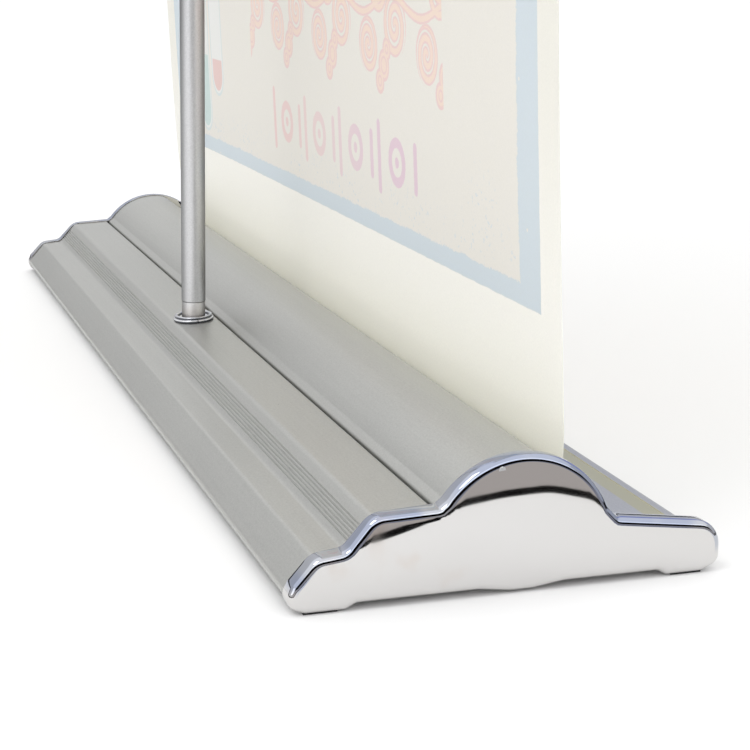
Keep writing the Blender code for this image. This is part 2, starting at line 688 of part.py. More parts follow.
def build_end(side, name):
    """End plate with its screws, chrome cap and rubber pads; side is -1 or 1."""
    def ends(a, b):
        return (side * a, side * b) if side > 0 else (side * b, side * a)

    shell = skyline((*REAR_TUCK, 0), (*front_points(FRONT_INSET)[-1], 0), FRONT_INSET)
    plate = prism("end_plate_" + name, [shifted(shell, 2 * FIT)], *ends(PLATE_INNER_X, PLATE_OUTER_X))
    ports = [port for group in PORTS.values() for port in group]
    through = ends(PLATE_INNER_X - MM, PLATE_OUTER_X + MM)
    combine(plate, drills("plate_holes_" + name, ports, PORT_BORE, *through), "DIFFERENCE")
    if side < 0:
        half = MANDREL_SQUARE / 2 + FIT
        hole = box("mandrel_hole", (through[0], ROLLER_Y - half, ROLLER_Z - half),
                   (through[1], ROLLER_Y + half, ROLLER_Z + half))
    else:
        hole = drills("idler_hole", [(ROLLER_Y, ROLLER_Z)], IDLER_RADIUS + FIT, *through)
    combine(plate, hole, "DIFFERENCE")
    finish(plate, "steel", False)

    axis = "X" if side > 0 else "-X"
    for i, (y, z) in enumerate(ports):
        screw(f"end_screw_{name}_{i + 1}", (side * (PLATE_OUTER_X + FIT), y, z), axis)

    inner = CAP_EDGE_X - CAP_ROUND - MM
    cap = prism("end_cap_" + name, [cap_outline()], *ends(inner, CAP_FACE_X), CAP_ROUND)
    back = ends(inner - 2 * MM, CAP_EDGE_X)
    trim = box("cap_trim_" + name, (back[0], FRONT_LIP[0] - CAP_SKIRT, -2 * CAP_SKIRT),
               (back[1], REAR_LIP[0] + CAP_SKIRT, HUMP_Z + HUMP_RADIUS + CAP_SKIRT))
    combine(cap, trim, "DIFFERENCE")
    under = prism("cap_under_" + name, [under_cut_outline()], *ends(inner - MM, CAP_FACE_X + MM))
    combine(cap, under, "DIFFERENCE")
    pocket = prism("cap_pocket_" + name, [shifted(shell, -FIT)], *ends(inner - MM, CAP_INNER_X))
    combine(cap, pocket, "DIFFERENCE")

    width, depth, height = PAD_SIZE
    x = side * (CAP_EDGE_X + CAP_DEPTH / 2)
    for place, y in zip(("rear", "front"), pad_places()):
        seat = box(f"pad_seat_{place}_{name}",
                   (x - width / 2 - FIT, y - depth / 2 - FIT, -MM),
                   (x + width / 2 + FIT, y + depth / 2 + FIT, height + FIT))
        combine(cap, seat, "DIFFERENCE")
        pad = box(f"foot_pad_{place}_{name}", (x - width / 2, y - depth / 2, 0),
                  (x + width / 2, y + depth / 2, height))
        finish(pad, "rubber", False)
    finish(cap, "chrome")


# ---- roller ---------------------------------------------------------------------------------

def on_roller_axis(obj, look):
    """Seat a turned piece, spun about X, on the roller's axis."""
    obj.location = (0, ROLLER_Y, ROLLER_Z)
    return finish(obj, look)


def build_roller():
    end = CAP_EDGE_X - ROLLER_END_GAP
    inner = ROLLER_RADIUS - ROLLER_WALL
    on_roller_axis(tube("roller_tube", ROLLER_RADIUS, inner, end, -end, ROUND, "X"), "anodised")
    wrap = FILM_WIDTH / 2
    on_roller_axis(tube("film_wrap", WRAP_RADIUS, ROLLER_RADIUS + FIT, wrap, -wrap, ROUND, "X"), "film")
    for name, axis, bore in (("left", "-X", MANDREL_RADIUS + FIT), ("right", "X", IDLER_RADIUS + FIT)):
        rim = ROLLER_RADIUS + 1.5 * MM
        outer_end = end + FIT + PLUG_RIM
        profile = [(rim, outer_end), (rim, end + FIT), (inner - FIT, end + FIT),
                   (inner - FIT, end - PLUG_DEPTH), (bore, end - PLUG_DEPTH), (bore, outer_end)]
        on_roller_axis(turned("roller_plug_" + name, profile, ROUND, True, axis), "black_plastic")

    # the pin that carries the right plug has a flange against the end plate's inner side
    shoulder = PLATE_INNER_X - FIT
    flange = IDLER_RADIUS * 1.9
    tip = end - PLUG_DEPTH + 4 * MM
    profile = [(0, PLATE_OUTER_X), (IDLER_RADIUS, PLATE_OUTER_X), (IDLER_RADIUS, shoulder),
               (flange, shoulder), (flange, shoulder - PIN_FLANGE),
               (IDLER_RADIUS, shoulder - PIN_FLANGE), (IDLER_RADIUS, tip), (0, tip)]
    on_roller_axis(turned("idler_pin", profile, ROUND, False, "X"), "steel")

    # the mandrel stands still in the left plate and holds the spring's fixed end
    mandrel = turned("spring_mandrel", rod(MANDREL_RADIUS, shoulder, shoulder - MANDREL_LENGTH),
                     ROUND, False, "-X")
    half = MANDREL_SQUARE / 2
    stub = box("mandrel_stub", (-PLATE_OUTER_X, ROLLER_Y - half, ROLLER_Z - half),
               (-shoulder + 3 * MM, ROLLER_Y + half, ROLLER_Z + half))
    on_roller_axis(combine(mandrel, stub, "UNION"), "steel")

    anchor_end = shoulder - MANDREL_LENGTH + 25 * MM
    profile = pipe(inner - FIT, MANDREL_RADIUS + FIT, anchor_end, anchor_end - 14 * MM)
    on_roller_axis(turned("spring_anchor", profile, ROUND, True, "-X"), "black_plastic")
    build_spring(end - PLUG_DEPTH - FIT - SPRING_WIRE, anchor_end + FIT + SPRING_WIRE)


def build_spring(start, end):
    """Torsion spring between the left plug and the anchor, drawn with few turns."""
    per_turn = 8
    count = SPRING_TURNS * per_turn
    curve = bpy.data.curves.new("torsion_spring", "CURVE")
    curve.dimensions = "3D"
    curve.bevel_depth = SPRING_WIRE
    curve.bevel_resolution = 1
    curve.use_fill_caps = True
    spline = curve.splines.new("POLY")
    spline.points.add(count)
    for i, point in enumerate(spline.points):
        angle = 2 * math.pi * i / per_turn
        x = -start + (start - end) * i / count
        y = ROLLER_Y + SPRING_RADIUS * math.cos(angle)
        point.co = (x, y, ROLLER_Z + SPRING_RADIUS * math.sin(angle), 1)
    mesh = solid_mesh("torsion_spring", curve)
    finish(bpy.data.objects.new("torsion_spring", mesh), "steel")


# ---- pole -----------------------------------------------------------------------------------

FOOT_Z = WEB_FOOT_Z + SOCKET_FLOOR + FIT
TUBE_Z = REAR_DECK_Z + FERRULE_SHOWN
JOINT_Z = TUBE_Z + LOWER_POLE
POLE_TOP_Z = JOINT_Z + MIDDLE_POLE
RAIL_FRAME = Matrix.Translation((0, RAIL_Y, RAIL_Z)) @ Matrix.Rotation(-LEAN, 4, "X")
HEAD_Z = RAIL_Z - HEAD_BELOW_RAIL
TUBE_INNER = POLE_RADIUS - POLE_WALL


def on_pole(obj, look, z=0.0):
    """Seat a piece on the pole's axis, with its own heights counted from z."""
    obj.location = (0, POLE_Y, z)
    return finish(obj, look)


def build_lower_pole():
    spigot = TUBE_INNER - FIT
    foot = [(0, TUBE_Z + PLUG_IN), (spigot, TUBE_Z + PLUG_IN), (spigot, TUBE_Z - FIT),
            (FERRULE_RADIUS, TUBE_Z - FIT), (FERRULE_RADIUS, FOOT_Z + 1.5 * MM),
            (FERRULE_RADIUS - 1.5 * MM, FOOT_Z), (0, FOOT_Z)]
    on_pole(turned("pole_foot", foot), "anodised")
    on_pole(tube("pole_tube_lower", POLE_RADIUS, TUBE_INNER, JOINT_Z, TUBE_Z), "anodised")
    joint = [(0, JOINT_Z + PLUG_IN), (spigot, JOINT_Z + PLUG_IN), (spigot, JOINT_Z - PLUG_IN),
             (0, JOINT_Z - PLUG_IN)]
    on_pole(turned("pole_joint_plug", joint), "black_plastic")
    on_pole(tube("pole_tube_middle", POLE_RADIUS, TUBE_INNER, POLE_TOP_Z, JOINT_Z + FIT), "anodised")
    cord = rod(CORD_RADIUS, JOINT_Z - PLUG_IN - FIT, TUBE_Z + PLUG_IN + FIT)
    on_pole(turned("shock_cord", cord, FINE_ROUND), "cord")


def build_lock():
    """Clamp sleeve on the middle tube and the twist collar that closes it."""
    low = POLE_TOP_Z - 22 * MM
    neck = POLE_TOP_Z + 13 * MM
    sleeve = [(POLE_RADIUS - 0.6 * MM, neck), (POLE_RADIUS - 0.6 * MM, POLE_TOP_Z + 2 * MM),
              (COLLAR_RADIUS - 0.6 * MM, POLE_TOP_Z + 2 * MM), (COLLAR_RADIUS - 0.6 * MM, low + MM),
              (COLLAR_RADIUS - 1.4 * MM, low), (POLE_RADIUS + FIT, low),
              (POLE_RADIUS + FIT, POLE_TOP_Z + FIT), (TOP_POLE_RADIUS + FIT, POLE_TOP_Z + FIT),
              (TOP_POLE_RADIUS + FIT, neck)]
    on_pole(turned("lock_sleeve", sleeve, ROUND, True), "black_plastic")

    base = POLE_TOP_Z + 2 * MM + FIT
    top = base + COLLAR_HEIGHT
    collar = [(COLLAR_RADIUS - 2.5 * MM, top), (COLLAR_RADIUS, top - 2.5 * MM), (COLLAR_RADIUS, base),
              (POLE_RADIUS - FIT, base), (POLE_RADIUS - FIT, neck + FIT),
              (TOP_POLE_RADIUS + FIT, neck + 2 * FIT), (TOP_POLE_RADIUS + FIT, top)]
    grip = turned("lock_collar", [(radius, height - base) for radius, height in collar], 27, True)
    ring = arc((0, POLE_Y), COLLAR_RADIUS * 1.06, 0, 320, 8)
    flutes = drills("collar_flutes", ring, 1.5 * MM, base + 3 * MM, top + MM, "Z")
    combine(grip, flutes, "DIFFERENCE")
    on_pole(grip, "black_plastic", base)


def hook_outline():
    """Arm and upturned lip of the pole's head, in the rail's own depth and height."""
    lip_rear = RAIL_WALL + 0.5 * MM + HOOK_DEPTH / 2 + HOOK_LIP / 2
    lip_front = lip_rear - HOOK_LIP
    seat = 3 * MM - FIT
    return rounded([(HOOK_REACH - MM, seat, 0), (lip_rear, seat, 1.0 * MM),
                    (lip_rear, seat + HOOK_RISE, 1.0 * MM), (lip_front, seat + HOOK_RISE, 1.0 * MM),
                    (lip_front, seat - HOOK_ARM, 2.5 * MM), (HOOK_REACH - MM, seat - HOOK_ARM, 0)], 3)


def build_top_pole():
    top = HEAD_Z + HEAD_REACH
    bottom = POLE_TOP_Z - POLE_OVERLAP
    inner = TOP_POLE_RADIUS - TOP_POLE_WALL
    on_pole(tube("pole_tube_top", TOP_POLE_RADIUS, inner, top, bottom), "anodised")
    bore = inner - 2 * MM
    guide = [(inner - FIT, bottom + 12 * MM), (inner - FIT, bottom - FIT),
             (TUBE_INNER - FIT, bottom - FIT), (TUBE_INNER - FIT, bottom - 8 * MM),
             (bore, bottom - 8 * MM), (bore, bottom + 12 * MM)]
    on_pole(turned("pole_guide_bush", guide, ROUND, True), "black_plastic")

    shell = [(0, top + 5 * MM), (HEAD_RADIUS - 2 * MM, top + 5 * MM), (HEAD_RADIUS, top + 3 * MM),
             (HEAD_RADIUS, HEAD_Z - 10 * MM), (0, HEAD_Z - 10 * MM)]
    head = turned("pole_head", shell)
    hook = prism("hook_arm", [hook_outline()], -HOOK_WIDTH / 2, HOOK_WIDTH / 2)
    hook.data.transform(RAIL_FRAME)
    room = drills("head_bore", [(0, POLE_Y)], TOP_POLE_RADIUS + FIT, HEAD_Z - 40 * MM, top + FIT, "Z")
    combine(head, hook, "UNION")
    combine(head, room, "DIFFERENCE")
    on_pole(head, "grey_plastic")


# ---- top rail -------------------------------------------------------------------------------

BEAD = (-1.6 * MM, RAIL_HEIGHT - 4.0 * MM)
RAIL_X = FILM_WIDTH / 2 + RAIL_OVERHANG
PLATE_FRONT = FILM_THICK / 2 + FIT
RAIL_REAR = PLATE_FRONT + RAIL_WALL
POCKET_TOP = 21 * MM
POCKET_LOW = 3 * MM
RAIL_PORT = (RAIL_REAR + PORT_OUTER - PORT_BLEND, POCKET_TOP + RAIL_WALL + PORT_OUTER - PORT_BLEND)


def in_rail(obj, look, frame):
    """Hang a piece on the rail's frame; its mesh is drawn in the rail's own axes."""
    obj.parent = frame
    return finish(obj, look)


def rail_back_shapes():
    """Back plate, bead seat, hook pocket and screw port, each a closed outline."""
    rear = RAIL_REAR
    plate = [(PLATE_FRONT, 0), (rear, 0), (rear, BEAD[1] + 1.0 * MM), (PLATE_FRONT, BEAD[1] + 1.0 * MM)]
    inner = BEAD_RADIUS + FIT
    seat = (arc(BEAD, inner, SEAT_REAR_ANGLE, SEAT_FRONT_ANGLE, 14)
            + arc(BEAD, inner + SEAT_WALL, SEAT_FRONT_ANGLE, SEAT_REAR_ANGLE, 14))
    wall_rear = rear + HOOK_DEPTH + RAIL_WALL
    pocket = [(rear - 0.5 * MM, POCKET_TOP), (wall_rear - RAIL_WALL, POCKET_TOP),
              (wall_rear - RAIL_WALL, POCKET_LOW), (wall_rear, POCKET_LOW),
              (wall_rear, POCKET_TOP + RAIL_WALL), (rear - 0.5 * MM, POCKET_TOP + RAIL_WALL)]
    port = arc(RAIL_PORT, PORT_OUTER, 0, 330, 11)
    return {"plate": plate, "seat": seat, "pocket": pocket, "port": port}


def build_rail(frame):
    shapes = rail_back_shapes()
    back = prism("rail_back", [shapes["plate"]], -RAIL_X, RAIL_X)
    for name in ("seat", "pocket", "port"):
        piece = prism("rail_" + name, [shapes[name]], -RAIL_X, RAIL_X)
        piece.parent = frame
        combine(back, piece, "UNION")
    bore = drills("rail_port_bore", [RAIL_PORT], PORT_BORE, -RAIL_X - MM, RAIL_X + MM)
    bore.parent = frame
    in_rail(combine(back, bore, "DIFFERENCE"), "anodised", frame)

    # the jaw turns on its bead; its mesh is drawn about that line
    line = rounded([(0, 0, 0), (BEAD[0] - JAW_BELLY * 0.45, -6 * MM, 6 * MM),
                    (BEAD[0] - JAW_BELLY * 0.75, -BEAD[1] * 0.55, 18 * MM),
                    (BEAD[0] - JAW_BELLY * 0.5, -BEAD[1] + 3.5 * MM, 4 * MM),
                    (-BEAD[0] - PLATE_FRONT, -BEAD[1] + 0.8 * MM, 0)], 5)
    skin = walled(line, -JAW_WALL)
    jaw = prism("rail_jaw", [skin], -RAIL_X, RAIL_X)
    bead = drills("jaw_bead", [(0, 0)], BEAD_RADIUS, -RAIL_X, RAIL_X)
    bead.parent = jaw
    combine(jaw, bead, "UNION")
    jaw.location = (0, *BEAD)
    in_rail(jaw, "anodised", frame)

    face = rounded_box(-9.5 * MM, RAIL_REAR + HOOK_DEPTH + RAIL_WALL + MM, -MM, RAIL_HEIGHT + MM, 4 * MM)
    for side, name, axis in ((-1, "left", "-X"), (1, "right", "X")):
        near, far = RAIL_X + FIT, RAIL_X + FIT + RAIL_CAP
        span = (near, far) if side > 0 else (-far, -near)
        cap = prism("rail_cap_" + name, [face], *span)
        hole = drills("rail_cap_hole_" + name, [RAIL_PORT], PORT_BORE, span[0] - MM, span[1] + MM)
        hole.parent = frame
        in_rail(combine(cap, hole, "DIFFERENCE"), "grey_plastic", frame)
        fix = screw("rail_screw_" + name, (side * (far + FIT), *RAIL_PORT), axis)
        fix.parent = frame


def rounded_box(low_y, high_y, low_z, high_z, radius):
    """Closed rounded rectangle."""
    right, left = high_y - radius, low_y + radius
    top, bottom = high_z - radius, low_z + radius
    return (arc((right, top), radius, 0, 90, 4) + arc((left, top), radius, 90, 180, 4)
            + arc((left, bottom), radius, 180, 270, 4) + arc((right, bottom), radius, 270, 360, 4))


# ---- film -----------------------------------------------------------------------------------

def build_film(frame):
    """The graphic, straight from beside the roller to its clamp in the rail."""
    low = -(RAIL_Z - SLOT_Z + FILM_TAIL) / math.cos(LEAN)
    film = box("banner_film", (-FILM_WIDTH / 2, -FILM_THICK / 2, low),
               (FILM_WIDTH / 2, FILM_THICK / 2, BEAD[1] - BEAD_RADIUS - 1.5 * MM))
    in_rail(film, "film", frame)


def build():
    clear_scene()
    frame = bpy.data.objects.new("rail_frame", None)
    frame.matrix_world = RAIL_FRAME
    parts.objects.link(frame)
    build_rear_deck()
    build_roller_cover()
    build_front_deck()
    build_floor()
    build_socket()
    build_end(-1, "left")
    build_end(1, "right")
    build_roller()
    build_lower_pole()
    build_lock()
    build_top_pole()
    build_rail(frame)
    build_film(frame)
    bpy.context.view_layer.update()


build()
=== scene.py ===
import math

import bmesh
import bpy
import numpy as np
from mathutils import Matrix, Vector
from mathutils.geometry import delaunay_2d_cdt


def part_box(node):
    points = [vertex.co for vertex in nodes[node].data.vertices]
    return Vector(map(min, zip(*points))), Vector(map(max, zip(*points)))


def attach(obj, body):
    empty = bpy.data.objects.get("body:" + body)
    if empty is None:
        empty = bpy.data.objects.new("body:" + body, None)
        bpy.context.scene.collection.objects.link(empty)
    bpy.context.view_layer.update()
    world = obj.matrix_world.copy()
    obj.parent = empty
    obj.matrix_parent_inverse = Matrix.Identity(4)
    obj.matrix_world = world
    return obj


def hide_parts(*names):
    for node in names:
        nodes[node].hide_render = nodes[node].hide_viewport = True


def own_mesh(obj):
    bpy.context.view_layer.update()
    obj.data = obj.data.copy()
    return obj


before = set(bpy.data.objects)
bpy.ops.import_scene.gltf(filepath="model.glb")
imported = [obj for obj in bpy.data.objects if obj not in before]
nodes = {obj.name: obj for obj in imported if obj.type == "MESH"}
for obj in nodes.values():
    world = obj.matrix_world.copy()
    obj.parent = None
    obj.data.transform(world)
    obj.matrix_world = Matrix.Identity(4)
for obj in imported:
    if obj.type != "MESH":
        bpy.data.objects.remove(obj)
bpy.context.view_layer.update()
MM = 0.001


# ---- camera ---------------------------------------------------------------------------------

LENS, SENSOR_WIDTH, CLIP_START = 81.605, 36.0, 0.02
CAMERA_AT = (-1.16565, 0.32353, 0.30910)
# the camera's right, up and backward directions
CAMERA_AXES = ((-0.32354179, -0.94597639, 0.02119861),
               (0.24009923, -0.06040689, 0.96886705),
               (-0.91524482, 0.31855875, 0.24667236))


def build_camera():
    """Low, behind the stand and near its left end."""
    camera = bpy.data.objects.new("camera", bpy.data.cameras.new("camera"))
    camera.data.sensor_width = SENSOR_WIDTH
    camera.data.lens = LENS
    camera.data.clip_start = CLIP_START
    camera.matrix_world = Matrix.Translation(CAMERA_AT) @ Matrix(CAMERA_AXES).transposed().to_4x4()
    bpy.context.scene.collection.objects.link(camera)
    bpy.context.scene.camera = camera


build_camera()


# ---- outlines -------------------------------------------------------------------------------

def unit(a, b):
    run = math.hypot(b[0] - a[0], b[1] - a[1])
    return ((b[0] - a[0]) / run, (b[1] - a[1]) / run)


def arc(centre, radius, start, end, steps):
    """Points along an arc, angles in degrees."""
    points = []
    for i in range(steps + 1):
        angle = math.radians(start + (end - start) * i / steps)
        points.append((centre[0] + radius * math.cos(angle), centre[1] + radius * math.sin(angle)))
    return points


def rounded(corners, steps=8, closed=False):
    """Line through corners (across, up, radius), each turned with its own radius."""
    points = []
    last = len(corners) - 1
    for i, (y, z, radius) in enumerate(corners):
        if radius == 0 or (not closed and i in (0, last)):
            points.append((y, z))
            continue
        before = unit(corners[i - 1], (y, z))
        after = unit((y, z), corners[(i + 1) % len(corners)])
        turn = math.atan2(before[0] * after[1] - before[1] * after[0],
                          before[0] * after[0] + before[1] * after[1])
        reach = radius * math.tan(abs(turn) / 2)
        side = math.copysign(1, turn)
        start = (y - before[0] * reach, z - before[1] * reach)
        centre = (start[0] - before[1] * radius * side, start[1] + before[0] * radius * side)
        first = math.degrees(math.atan2(start[1] - centre[1], start[0] - centre[0]))
        points += arc(centre, radius, first, first + math.degrees(turn), steps)
    return points


def shifted(path, distance, closed=False):
    """The line moved to its left, with mitred corners."""
    moved = []
    last = len(path) - 1
    for i, (y, z) in enumerate(path):
        before_at = i - 1 if closed or i > 0 else 0
        after_at = (i + 1) % len(path) if closed or i < last else last
        before = unit(path[before_at], path[i]) if before_at != i else unit(path[0], path[1])
        after = unit(path[i], path[after_at]) if after_at != i else unit(path[-2], path[-1])
        stretch = distance / (1 + before[0] * after[0] + before[1] * after[1])
        moved.append((y - (before[1] + after[1]) * stretch, z + (before[0] + after[0]) * stretch))
    return moved


def walled(path, wall):
    return path + shifted(path, wall)[::-1]


# ---- base section, as in the frame ----------------------------------------------------------

FIT = 0.3 * MM
WALL = 1.6 * MM
HUMP = (-5.6 * MM, 20.2 * MM)
HUMP_RADIUS = 48.8 * MM
HUMP_REAR = 36.0
HUMP_FRONT = 158.0
SHOULDER = (98.0, 118.0)
FRONT_INSET = 4.3 * MM
SLOT_ANGLE = 127.0
UNDERSIDE_Z = 4.8 * MM
FLANGE = 14.0 * MM
WEB_FOOT_Z = UNDERSIDE_Z + WALL + FIT + 1.5 * MM + FIT
REAR_DECK_Z = 45.6 * MM
SEAM_Y = HUMP[0] + HUMP_RADIUS * math.cos(math.radians(HUMP_REAR)) + 4.1 * MM
REAR_TOP_Y = SEAM_Y + 1.2 * MM
DECK_RUN, DECK_FALL = 31.5 * MM, 1.7 * MM
SLOPE_TOP = (REAR_TOP_Y + DECK_RUN, REAR_DECK_Z - DECK_FALL)
SLOPE_FOOT = (SLOPE_TOP[0] + 13.9 * MM, 28.0 * MM)
FACE_TOP = (SLOPE_FOOT[0] + 15.6 * MM, 26.2 * MM)
REAR_LIP = (FACE_TOP[0] + 15.0 * MM, 9.2 * MM)
REAR_TUCK = (REAR_LIP[0] - 4.0 * MM, UNDERSIDE_Z)
DECK_START = (HUMP[0] - HUMP_RADIUS - 2.2 * MM, 32.4 * MM)
DECK_END = (DECK_START[0] - 57.4 * MM, 24.9 * MM)
FRONT_LIP = (DECK_END[0] - 0.5 * MM, 8.0 * MM)
FRONT_TUCK = (FRONT_LIP[0] + 4.0 * MM, UNDERSIDE_Z)
GROOVES, GROOVE_PITCH, GROOVE_HALF, GROOVE_DEEP = 6, 1.85 * MM, 0.46 * MM, 0.6 * MM
SLOPE_SHARE = 0.44
FRONT_BAND = (33.9 * MM, 46.9 * MM)
BAND_RECESS = 0.4 * MM
LIP_BEAD = 1.5 * MM
SLOT_HALF = 1.0 * MM
SLOT_Y = HUMP[0] + HUMP_RADIUS * math.cos(math.radians(SLOT_ANGLE))
SLOT_Z = HUMP[1] + HUMP_RADIUS * math.sin(math.radians(SLOT_ANGLE))
SECTION_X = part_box("rear_deck")[1].x
CAP_LIP = 1.2 * MM
CAP_EDGE_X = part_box("end_cap_right")[0].x
CAP_FACE_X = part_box("end_cap_right")[1].x
POLE_Y = REAR_TOP_Y + 17.0 * MM
# radii of the folds along the section
FOLD, TOP_FOLD, TUCK_FOLD, SEAM_FOLD, SHOULDER_FOLD = 4.0 * MM, 5.0 * MM, 3.0 * MM, 2.0 * MM, 5.0 * MM
NOSE_FOLD, FRONT_LIP_FOLD = 12.0 * MM, 4.5 * MM


def lip_angle(side):
    y = SLOT_Y + side * (LIP_BEAD + SLOT_HALF)
    return math.degrees(math.acos((y - HUMP[0]) / (HUMP_RADIUS - FRONT_INSET - LIP_BEAD)))


def hump_arc(start, end, steps, inset=0):
    """Corners along the hump, inset inside it past its shoulder."""
    corners = []
    for i in range(steps + 1):
        degrees = start + (end - start) * i / steps
        share = min(1, max(0, (degrees - SHOULDER[0]) / (SHOULDER[1] - SHOULDER[0])))
        radius = HUMP_RADIUS - inset * share * share * (3 - 2 * share)
        angle = math.radians(degrees)
        corners.append((HUMP[0] + radius * math.cos(angle), HUMP[1] + radius * math.sin(angle), 0))
    return corners


def groove_corners():
    """Six fine grooves side by side on the slope."""
    along = unit(SLOPE_FOOT, SLOPE_TOP)
    slope = math.hypot(SLOPE_TOP[0] - SLOPE_FOOT[0], SLOPE_TOP[1] - SLOPE_FOOT[1])
    start = SLOPE_SHARE * slope - (GROOVES - 1) / 2 * GROOVE_PITCH
    corners = []
    for i in range(GROOVES):
        middle = start + i * GROOVE_PITCH
        for step in range(7):
            turn = math.pi * step / 6
            across = middle - GROOVE_HALF * math.cos(turn)
            deep = GROOVE_DEEP * math.sin(turn)
            corners.append((SLOPE_FOOT[0] + along[0] * across - along[1] * deep,
                            SLOPE_FOOT[1] + along[1] * across + along[0] * deep, 0))
    return corners


def rear_deck_path(grooved=False):
    low = [(REAR_TUCK[0] - FLANGE, UNDERSIDE_Z, 0), (*REAR_TUCK, TUCK_FOLD),
           (*REAR_LIP, FOLD), (*FACE_TOP, FOLD), (*SLOPE_FOOT, FOLD)]
    high = [(*SLOPE_TOP, TOP_FOLD), (REAR_TOP_Y, REAR_DECK_Z, SEAM_FOLD), (REAR_TOP_Y, WEB_FOOT_Z, 0)]
    return rounded(low + (groove_corners() if grooved else []) + high)


def cover_path():
    hump = hump_arc(HUMP_REAR, lip_angle(1), 60, FRONT_INSET)
    hump[0] = (*hump[0][:2], FOLD)
    start = [(SEAM_Y, WEB_FOOT_Z, 0), (SEAM_Y, REAR_DECK_Z, SEAM_FOLD)]
    return blunt(rounded(start + hump))


def blunt(path):
    """The path with a round bead rolled inwards at its end, as the slot's lips have."""
    before = unit(path[-2], path[-1])
    centre = (path[-1][0] - before[1] * LIP_BEAD, path[-1][1] + before[0] * LIP_BEAD)
    first = math.degrees(math.atan2(path[-1][1] - centre[1], path[-1][0] - centre[0]))
    return path + arc(centre, LIP_BEAD, first, first + 200, 10)[1:]


def front_points(inset):
    """The front deck's start, end, lip and tuck, inset inside the caps' line."""
    return [(DECK_START[0] + inset, DECK_START[1] - inset), (DECK_END[0] + inset, DECK_END[1] - inset),
            (FRONT_LIP[0] + inset, FRONT_LIP[1]), (FRONT_TUCK[0] + inset, FRONT_TUCK[1])]


def front_corners(with_band, inset=0):
    start, end, lip, tuck = front_points(inset)
    fall = (start[1] - end[1]) / (start[0] - end[0])
    corners = [(*start, FOLD)]
    if with_band:
        for across, depth in ((FRONT_BAND[0], 0), (FRONT_BAND[0] + BAND_RECESS, BAND_RECESS),
                              (FRONT_BAND[1] - BAND_RECESS, BAND_RECESS), (FRONT_BAND[1], 0)):
            corners.append((start[0] - across, start[1] - across * fall - depth, 0))
    return corners + [(*end, NOSE_FOLD - inset), (*lip, FRONT_LIP_FOLD), (*tuck, TUCK_FOLD)]


def front_deck_path():
    hump = hump_arc(lip_angle(-1), HUMP_FRONT, 14, FRONT_INSET)
    hump[-1] = (*hump[-1][:2], SHOULDER_FOLD)
    flange = (FRONT_TUCK[0] + FRONT_INSET + FLANGE, UNDERSIDE_Z, 0)
    return rounded(hump + front_corners(True, FRONT_INSET) + [flange])


def skyline(start, end, inset=0, soft=1.0):
    """The whole base's outer line from the rear corner to the front one; soft widens its corners."""
    hump = hump_arc(HUMP_REAR, HUMP_FRONT, 60, inset)
    hump[0] = (*hump[0][:2], FOLD)
    hump[-1] = (*hump[-1][:2], SHOULDER_FOLD)
    folds = [(REAR_LIP, FOLD), (FACE_TOP, FOLD), (SLOPE_FOOT, FOLD), (SLOPE_TOP, TOP_FOLD)]
    corners = [start] + [(*corner, radius * soft) for corner, radius in folds]
    corners += [(SEAM_Y, REAR_DECK_Z, SEAM_FOLD)] + hump
    return rounded(corners + front_corners(False, inset)[:-1] + [end])


# ---- node building --------------------------------------------------------------------------

def add(tree, kind, joins=None, **settings):
    """A node with its settings; joins sets or links its inputs by name or number."""
    made = tree.nodes.new(kind)
    for key, value in settings.items():
        setattr(made, key, value)
    for key, value in (joins or {}).items():
        if isinstance(value, bpy.types.NodeSocket):
            tree.links.new(value, made.inputs[key])
        else:
            made.inputs[key].default_value = value
    return made


class Field:
    """A number that changes over a surface, worked out by Math nodes."""

    def __init__(self, tree, socket):
        self.tree = tree
        self.socket = socket

    def math(self, operation, *others, clamp=False):
        made = self.tree.nodes.new("ShaderNodeMath")
        made.operation = operation
        made.use_clamp = clamp
        for socket, value in zip(made.inputs, (self, *others)):
            if isinstance(value, Field):
                self.tree.links.new(value.socket, socket)
            else:
                socket.default_value = value
        return Field(self.tree, made.outputs[0])

    def __add__(self, other):
        return self.math("ADD", other)

    def __sub__(self, other):
        return self.math("SUBTRACT", other)

    def __mul__(self, other):
        return self.math("MULTIPLY", other)

    def __truediv__(self, other):
        return self.math("DIVIDE", other)

    def __neg__(self):
        return self * -1.0

    def size(self):
        return self.math("ABSOLUTE")

    def least(self, other):
        return self.math("MINIMUM", other)

    def most(self, other):
        return self.math("MAXIMUM", other)

    def step(self, low, high):
        """0 below low, 1 above high, smooth between."""
        made = add(self.tree, "ShaderNodeMapRange", interpolation_type="SMOOTHSTEP")
        self.tree.links.new(self.socket, made.inputs["Value"])
        made.inputs["From Min"].default_value = low
        made.inputs["From Max"].default_value = high
        return Field(self.tree, made.outputs["Result"])

    def spread(self, low, high):
        """0 to 1 taken to low to high."""
        return self * (high - low) + low


def places(tree):
    """Object coordinates as three fields, and their socket."""
    spot = add(tree, "ShaderNodeTexCoord").outputs["Object"]
    split = add(tree, "ShaderNodeSeparateXYZ", {0: spot})
    return [Field(tree, socket) for socket in split.outputs], spot


def grain(tree, spot, scale, detail=2.0, stretch=(1, 1, 1), offset=(0, 0, 0)):
    """Noise from 0 to 1, with its own stretch along X, Y and Z."""
    turned_spot = add(tree, "ShaderNodeMapping", {"Vector": spot, "Scale": stretch, "Location": offset})
    made = add(tree, "ShaderNodeTexNoise", {"Vector": turned_spot.outputs[0], "Scale": scale,
                                            "Detail": detail})
    return Field(tree, made.outputs["Fac"])


